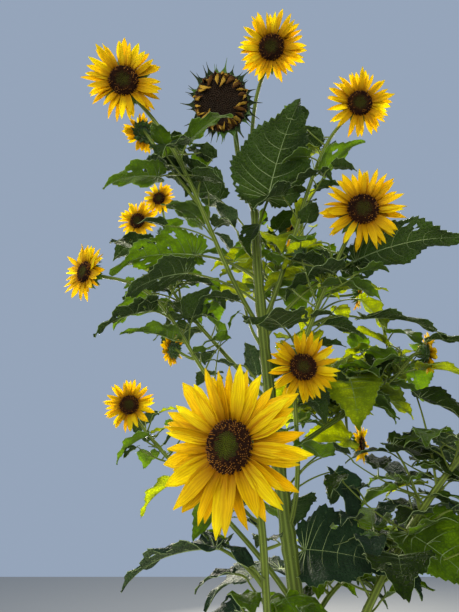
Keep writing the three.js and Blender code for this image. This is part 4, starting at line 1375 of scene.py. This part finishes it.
# Name, kind, strands, finish, slot and the solids that it replaces
boughNames = [name for name in nodes if name.startswith("bough_")]
stemPieces = [
    ("main_stem_skin", "main", stemStrands, stemSkin, "stem_green", ["main_stem"]),
    ("bough_skins", "bough", boughStrands, stemSkin, "stem_green", boughNames),
    ("upper_stem_skins", "upper", upperStrands, stalkSkin, "stem_green", []),
    ("leaf_stalks", "stalk", stalkStrands, stalkSkin, "leaf_green", []),
]
bristles, hairs = bristleTree(), []
for name, kind, strands, finish, slot, replaced in stemPieces:
    skin = growSkin(kind, name, strands, finish)
    hairs.append(grow(bristles, "hairs", skin.copy(), density=stemLook["bristlesPerMetre"],
                      length=stemLook["bristleLength"], seed=7 + len(hairs), finish=bristleFinish))
    placePiece(name, skin, slot, *replaced)
placePiece("stem_bristles", joinMeshes("stem_bristles", hairs), "stem_green")
print("stems made")

# Leaves, dealt their tones by where they grow: shares of deep, mid, bright and cool. The bright tone is
# painted backlight and the deep one a dark green that is partly painted shade, so the masses at the back get
# the most bright
leafDeal = {
    "masses": {
        "foliage_left_high": (0.65, 0.35, 0, 0), "foliage_right_high": (0.6, 0.35, 0.05, 0),
        "foliage_right_middle": (0.35, 0.35, 0.3, 0), "foliage_centre": (0.2, 0.4, 0.4, 0),
        "foliage_front": (0.2, 0.4, 0.1, 0.3), "foliage_left_low": (0.3, 0.5, 0.2, 0),
        "foliage_left_middle": (0.55, 0.35, 0.1, 0), "foliage_right_low": (0.35, 0.3, 0.05, 0.3),
        "foliage_rear_left": (0.35, 0.4, 0.25, 0), "foliage_rear_right": (0.15, 0.35, 0.5, 0),
        "foliage_rear_high": (0.1, 0.35, 0.55, 0), "foliage_rear_low": (0.3, 0.4, 0.1, 0.2),
    },
    "others": (0.4, 0.3, 0, 0.3),
    "stemLeaves": ["deep", "deep", "deep", "mid", "bright", "deep", "mid", "deep", "cool", "cool", "bright"],
    "great": {"foliage_front": (185, "cool"), "foliage_rear_right": (135, "bright")}, "litBehind": -50,
    "seed": 5, "holedFrom": 120, "mostHoles": 8, "fewHoles": 2,
    "tattered": ("stem_leaf_03", "stem_leaf_07"), "tatters": 22, "calm": 0.6, "turned": {"stem_leaf_03": -26},
}
toneNames = list(leafColours)


def toneOf(plan, random):
    mass = plan["mass"]
    number = int(mass[-2:]) - 1 if mass.startswith("stem_leaf_") else math.inf
    if number < len(leafDeal["stemLeaves"]):
        return toneNames.index(leafDeal["stemLeaves"][number])
    least, tone = leafDeal["great"].get(mass, (math.inf, None))
    if plan["length"] > least:
        return toneNames.index(tone)
    tone = random.choice(len(toneNames), p=leafDeal["masses"].get(mass, leafDeal["others"]))
    # A leaf dealt the bright tone, which is painted backlight, gets the mid tone where its tip stands in
    # front of the stem, away from the lights behind
    shaded = plan["tip"][1] < leafDeal["litBehind"] and toneNames[tone] == "bright"
    return toneNames.index("mid") if shaded else tone


leafGroups = {
    "left": ("foliage_left", "foliage_rear_left"), "right": ("foliage_right", "foliage_centre"),
    "rear": ("foliage_rear_right", "foliage_rear_high"),
    "stem": ("stem_leaf", "shoot", "foliage_front", "foliage_rear_low"),
}


def makeLeaves():
    random = np.random.default_rng(leafDeal["seed"])
    tones = len(toneNames)
    for group, starts in leafGroups.items():
        heap, masses = newHeap(), set()
        for plan in leafPlans:
            mass = plan["mass"]
            if not mass.startswith(starts):
                continue
            most = leafDeal["mostHoles" if plan["length"] > leafDeal["holedFrom"] else "fewHoles"]
            holes = random.integers(0, most)
            if mass in leafDeal["tattered"]:
                holes, plan["calm"] = leafDeal["tatters"], leafDeal["calm"]
            plan["turned"] = leafDeal["turned"].get(mass, 0)
            tone = toneOf(plan, random)
            pourLeaf(heap, plan, (tone, tone + tones, 2 * tones), holes, random)
            masses.add(mass)
        mesh = heapToMesh("leaves_" + group, heap, [*leafTones, veinFinish])
        placePiece("leaves_" + group, mesh, "leaf_green", *sorted(masses & set(nodes)))


makeLeaves()
print("leaves made")

# Flower heads: receptacle and floret bed, florets, two rings of petals, three of bracts.
# A ring of blades: lean in degrees, height and length as shares
headLook = {
    "fullSize": 155, "fewest": 0.68, "thinning": 0.9, "bigFrom": 190, "bigWidth": 1.05, "shadedFrom": 1250,
    "disc": 0.188, "bigDisc": 0.165, "spentDisc": 0.38, "dome": 0.05, "spentDome": 1.2,
    "reach": 0.5, "petals": 23, "petalRoot": 0.9, "petalWidth": 0.84, "widthVary": (0.94, 1.08),
    "petalRings": ((4, 0.6, 0.96), (-7, -1.6, 1.0)), "leanVary": 3, "mixed": 0.45, "shadedMix": 0.25,
    "bracts": 15, "bractLength": 0.17, "bractWidth": 1.5, "bractRoot": 0.96, "bractStep": 0.13,
    "bractRings": ((-14, 0.16, 0.95), (-30, 0.4, 1.0), (-52, 0.62, 0.8)),
    "witheredRings": ((118, 5, 0.16, 30), (84, 1, 0.13, 26)),
    "spikeRings": ((30, 0.02, 0.16, 18), (8, 0.05, 0.2, 16), (-22, 0.09, 0.19, 13)),
    "budBracts": 9, "budBractLength": 0.58, "budBractWidth": 1.9,
    "budRings": ((100, 0.42, 0.02), (84, 0.46, -0.04), (62, 0.44, -0.12)), "cupSides": 28, "budSides": 14,
    "floretPitch": 3.3, "bigPitch": 0.8, "seedPitch": 1.5, "overlap": 1.15, "floretSize": 1.05,
}
# Spread of length, lean and roll in each kind of ring, and its swing round the disc
ringSpreads = {
    "petal": (0.13, 13, 22, 0.42), "bract": (0.18, 14, 10, 0.3), "budBract": (0.15, 10, 10, 0.3),
    "withered": (0.35, 24, 50, 0.5), "spike": (0.35, 22, 25, 0.4),
}
# Cup of an open head: its neck and disc as shares of their radii and of the head's depth, then the bed of
# the florets, whose rim has its heights in millimetres and whose top has them as shares of the dome
cupProfile = {
    "neck": ((0, -0.95), (0.8, -0.9), (1.5, -0.78)),
    "disc": ((0.55, -0.62), (0.85, -0.4), (0.99, -0.16), (1.0, 0)), "inner": 0.3,
    "bedRim": ((0, -1), (0.96, -1), (0.97, 1.0)), "bedTop": ((0.8, 0.55), (0, 0.6)),
}
budProfile = ((0, -0.3), (0.12, -0.28), (0.4, -0.06), (0.44, 0.15), (0.3, 0.42), (0, 0.5))
floretProfiles = {
    "bud": ([(0, 0), (0.5, 0), (0.44, 0.55), (0, 1.0)], 5),
    "seed": ([(0, 0), (0.5, 0), (0.5, 0.5), (0, 0.8)], 5),
    "corolla": ([(0, 0), (0.36, 0), (0.52, 0.8), (0, 0.5)], 5),
    "anther": ([(0, 0.5), (0.15, 0.5), (0.22, 1.15), (0, 1.45)], 3),
}
# Florets of each kind of head: how far out they reach, the dip in the middle, how far the outer ones lean,
# the share that is still closed and the share of dark ones
floretLook = {
    "open": dict(inside=0.98, dip=0.45, splay=0.7, closed=(0.58, 0.66), dark=0.72),
    "big": dict(inside=0.98, dip=0.45, splay=0.7, closed=(0.58, 0.66), fewer=0.86, dark=0.45),
    "spent": dict(inside=0.97, dip=0.2, splay=0.5, closed=(0.5, 0.5), dark=1.0),
}
# Rings of the spent head: where they root, how they stand and their share of the second finish
spentRule = {
    "rayRoot": 0.95, "rayTurn": 0.3, "rayWidth": 0.95, "ochreShare": 0.6,
    "spikeRoot": 0.98, "spikeStep": 0.08, "spikeTurn": 0.8, "spikeWidth": 1.1, "greenShare": 0.3,
}
# Seeds of the draws and the rings of each head, and how far a ring may be turned, in radians
headSeed = {"draws": 100, "step": 10, "green": 5, "buds": 500, "turn": (0, 6)}


def floretObject(*shapes):
    heap = newHeap()
    for i, (kind, _) in enumerate(shapes):
        profile, sides = floretProfiles[kind]
        lathe(heap, [(r / metres, z / metres) for r, z in profile], sides, i)
    return bpy.data.objects.new(kind, heapToMesh(kind, heap, [finish for _, finish in shapes]))


budFloret, seedFloret = floretObject(("bud", floretBrown)), floretObject(("seed", seedDark))
openFloret = floretObject(("corolla", floretBrown), ("anther", antherGold))
petalKit, bractKit = bladeKit("petal", 8, 41), bladeKit("bract", 4, 42)
spikeKit, witheredKit = bladeKit("spike", 5, 43), bladeKit("withered", 6, 44)
ringTree, discTree = bladeRingTree(), floretTree()
blossom = {name: [] for name in (
    "petals", "disc_florets", "bracts", "head_cups", "withered_rays", "spent_bracts", "spent_seeds",
)}


# Turns and moves a shape that faces up to where its head stands, as part of one of the pieces
def addTo(piece, mesh, head):
    forward, side, rise = headFrame(head["facing"])
    turn = Matrix([[*row, 0] for row in np.stack([side, rise, forward], axis=1)] + [[0, 0, 0, 1]])
    mesh.transform(Matrix.Translation(Vector(np.array(head["centre"], float) * metres)) @ turn)
    blossom[piece].append(mesh)


def addRing(piece, head, kind, kit, count, radius, height, length, lean, turn, seed, finishes, width,
            share=0.4):
    longer, leanSpread, rollSpread, swing = ringSpreads[kind]
    addTo(piece, grow(
        ringTree, piece, blades=kit, kinds=len(kit.objects), count=count, rootRadius=radius * metres,
        rootHeight=height * metres, length=length * metres, lengthSpread=longer, width=width,
        lean=math.radians(lean), leanSpread=math.radians(leanSpread), rollSpread=math.radians(rollSpread),
        swing=swing, turn=turn, seed=seed, finish=finishes[0], secondFinish=finishes[-1], secondShare=share,
    ), head)


def addFlorets(piece, head, shapes, disc, dome, pitch, look, closed, seed, finishes):
    count = int(math.pi * disc ** 2 / pitch ** 2 * headLook["overlap"])
    size = math.sqrt(math.pi / count) * disc * headLook["floretSize"]
    bud, between, dark = finishes
    addTo(piece, grow(
        discTree, piece, bud=shapes[0], open=shapes[-1], count=count, radius=disc * look["inside"] * metres,
        dome=dome * metres, dip=look["dip"], size=size * metres, budShare=closed, splay=look["splay"],
        seed=seed, budFinish=bud, betweenFinish=between, darkFinish=dark, darkShare=look["dark"],
    ), head)


def addCup(head, disc, dome):
    heap, neck, back = newHeap(), growth["neckRadius"], growth["backShare"] * head["size"]
    outside = [(neck * r, back * z) for r, z in cupProfile["neck"]]
    outside += [(disc * r, back * z) for r, z in cupProfile["disc"]]
    bed = [(disc * r, z) for r, z in cupProfile["bedRim"]]
    bed += [(disc * r, dome * z) for r, z in cupProfile["bedTop"]]
    lathe(heap, [*outside, (0, dome * cupProfile["inner"])], headLook["cupSides"], 0)
    lathe(heap, bed, headLook["cupSides"], 1)
    addTo("head_cups", heapToMesh("cup", heap, [bractFinish, floretBrown]), head)


def openHead(head, number):
    look, size = headLook, head["size"]
    big = size > look["bigFrom"]
    disc = look["bigDisc" if big else "disc"] * size
    random = np.random.default_rng(headSeed["draws"] + number)
    fullness = min(1.0, max(look["fewest"], size / look["fullSize"]))
    blades = round(look["petals"] * fullness)
    width = look["petalWidth"] * (look["bigWidth"] if big else 1.0) / fullness ** look["thinning"]
    root = disc * look["petalRoot"]
    reach = look["reach"] * size - root
    shaded = head["centre"][2] > look["shadedFrom"]
    # The front ring mixes in the painted lit lemon petals, fewer of them on heads above shadedFrom, and the
    # back ring the painted shaded amber ones
    for ring, (lean, height, length) in enumerate(look["petalRings"]):
        broad = width * random.uniform(*look["widthVary"])
        lean += random.uniform(-look["leanVary"], look["leanVary"])
        addRing(
            "petals", head, "petal", petalKit, blades - 2 * ring, radius=root, height=height,
            length=reach * length, lean=lean, turn=random.uniform(*headSeed["turn"]),
            seed=number * headSeed["step"] + ring, finishes=(petalGold, petalAmber if ring else petalLight),
            width=broad, share=look["shadedMix" if shaded and not ring else "mixed"],
        )
    for ring, (lean, height, share) in enumerate(look["bractRings"]):
        addRing(
            "bracts", head, "bract", bractKit, look["bracts"] - ring,
            radius=disc * (look["bractRoot"] - look["bractStep"] * ring),
            height=-growth["backShare"] * size * height, length=look["bractLength"] * size * share, lean=lean,
            turn=random.uniform(*headSeed["turn"]), seed=number * headSeed["step"] + headSeed["green"] + ring,
            finishes=(bractFinish,), width=look["bractWidth"],
        )
    dome = look["dome"] * size
    pitch = look["floretPitch"] * (look["bigPitch"] if big else 1.0)
    florets = floretLook["big" if big else "open"]
    closed = random.uniform(*florets["closed"]) * florets.get("fewer", 1.0)
    finishes = (budGreen, budOlive, floretDark) if big else (budOlive, budShade, floretDark)
    addFlorets("disc_florets", head, (budFloret, openFloret), disc, dome, pitch, florets, closed, number,
               finishes)
    addCup(head, disc, dome)


def spentHead(head, number):
    look, rule, size = headLook, spentRule, head["size"]
    disc = look["spentDisc"] * size
    for ring, (lean, height, length, count) in enumerate(look["witheredRings"]):
        addRing(
            "withered_rays", head, "withered", witheredKit, count, radius=disc * rule["rayRoot"],
            height=height, length=length * size, lean=lean, turn=rule["rayTurn"],
            seed=number * headSeed["step"] + ring, finishes=(witheredBrown, witheredOchre),
            width=rule["rayWidth"], share=rule["ochreShare"],
        )
    for ring, (lean, height, length, count) in enumerate(look["spikeRings"]):
        addRing(
            "spent_bracts", head, "spike", spikeKit, count,
            radius=disc * (rule["spikeRoot"] - rule["spikeStep"] * ring), height=-height * size,
            length=length * size, lean=lean, turn=rule["spikeTurn"],
            seed=number * headSeed["step"] + headSeed["green"] + ring, finishes=(spikeFinish, bractFinish),
            width=rule["spikeWidth"], share=rule["greenShare"],
        )
    dome = look["dome"] * size * look["spentDome"]
    pitch = look["floretPitch"] * look["seedPitch"]
    florets = floretLook["spent"]
    addFlorets("spent_seeds", head, (seedFloret,), disc, dome, pitch, florets, florets["closed"][0], number,
               (seedDark, seedDark, seedDark))
    addCup(head, disc, dome)


# A green bud: a small cup with its bracts folded over it
def closedBud(head, number):
    look, size = headLook, head["size"]
    heap = newHeap()
    lathe(heap, [(size * r, size * z) for r, z in budProfile], look["budSides"])
    addTo("head_cups", heapToMesh("bud", heap, [bractFinish]), head)
    for ring, (lean, radius, height) in enumerate(look["budRings"]):
        addRing(
            "bracts", head, "budBract", bractKit, look["budBracts"], radius=radius * size,
            height=height * size, length=look["budBractLength"] * size, lean=lean, turn=ring,
            seed=headSeed["buds"] + number * headSeed["step"] + ring, finishes=(bractFinish,),
            width=look["budBractWidth"],
        )


for number, bud in enumerate(buds):
    closedBud(bud, number)
for number, head in enumerate(heads):
    (spentHead if head["spent"] else openHead)(head, number)

openHeads = [f"flower_{head['name']}" for head in heads if not head["spent"]]
blossomNodes = {"petals": [name for name in openHeads if name in nodes], "withered_rays": ["flower_upper"]}
blossomSlots = {
    "petals": "petal_yellow", "bracts": "leaf_green", "head_cups": "leaf_green",
    "spent_bracts": "leaf_green",
}
for name, meshes in blossom.items():
    slot = blossomSlots.get(name, "spent_brown")
    placePiece(name, joinMeshes(name, meshes), slot, *blossomNodes.get(name, ()))
for kit in (petalKit, bractKit, spikeKit, witheredKit):
    for spare in list(kit.objects):
        bpy.data.objects.remove(spare)
    bpy.data.collections.remove(kit)
for spare in (budFloret, openFloret, seedFloret):
    bpy.data.objects.remove(spare)
print("heads made, with", len(buds), "buds")

# Stage: a plain pale floor, a pale sky, soft lights and the photograph's viewpoint
stage = {
    "floorSide": 8.0, "floor": (0.36, 0.36, 0.35), "floorRough": 0.9, "sky": (0.54, 0.67, 0.88),
    "skyStrength": 0.56, "camera": (-0.2, -1.0, 1.2), "pitch": 18.0, "lens": 26.0, "sensor": 36.0,
}
# Where each light stands, where it aims, side, watts, colour
studioLights = {
    "behindLow": ((-1.1, 2.6, 1.9), (-0.1, 0, 1.5), 1.2, 250.0, (1.0, 0.93, 0.78)),
    "behindHigh": ((1.4, 1.8, 3.4), (0, 0, 1.4), 1.4, 145.0, (1.0, 0.96, 0.86)),
    "frontFill": ((-0.6, -3.2, 1.9), (-0.1, 0, 1.4), 2.2, 76.0, (1.0, 0.97, 0.9)),
    "leftFill": ((-2.8, -0.6, 2.4), (-0.1, 0, 1.4), 1.6, 30.0, (1.0, 0.98, 0.94)),
}


def makeFloor():
    half = stage["floorSide"] / 2
    mesh = bpy.data.meshes.new("floor")
    corners = [(-half, -half, 0), (half, -half, 0), (half, half, 0), (-half, half, 0)]
    mesh.from_pydata(corners, [], [(0, 1, 2, 3)])
    finish, tree = newFinish("floorPale")
    look = {"Base Color": colourOf(*stage["floor"]), "Roughness": stage["floorRough"]}
    closeFinish(tree, node(tree, "ShaderNodeBsdfPrincipled", look)[0])
    mesh.materials.append(finish)
    floor = bpy.data.objects.new("floor", mesh)
    link(floor)


def makeSky():
    world = bpy.data.worlds.new("paleSky")
    world.use_nodes = True
    bpy.context.scene.world = world
    background = world.node_tree.nodes["Background"]
    background.inputs["Color"].default_value = colourOf(*stage["sky"])
    background.inputs["Strength"].default_value = stage["skyStrength"]


def makeLight(name, place, aim, side, watts, colour):
    data = bpy.data.lights.new(name, "AREA")
    data.size, data.energy, data.color = side, watts, colour
    light = bpy.data.objects.new(name, data)
    light.location = place
    light.rotation_euler = (Vector(aim) - Vector(place)).to_track_quat("-Z", "Y").to_euler()
    light.visible_camera = False
    link(light)


def makeCamera():
    data = bpy.data.cameras.new("camera")
    data.lens, data.sensor_width, data.sensor_fit = stage["lens"], stage["sensor"], "AUTO"
    camera = bpy.data.objects.new("camera", data)
    camera.location = stage["camera"]
    camera.rotation_euler = (math.radians(90 + stage["pitch"]), 0, 0)
    link(camera)
    bpy.context.scene.camera = camera


makeFloor()
makeSky()
for name, light in studioLights.items():
    makeLight(name, *light)
makeCamera()
bpy.context.scene.view_settings.view_transform = "Standard"
print("stage ready")
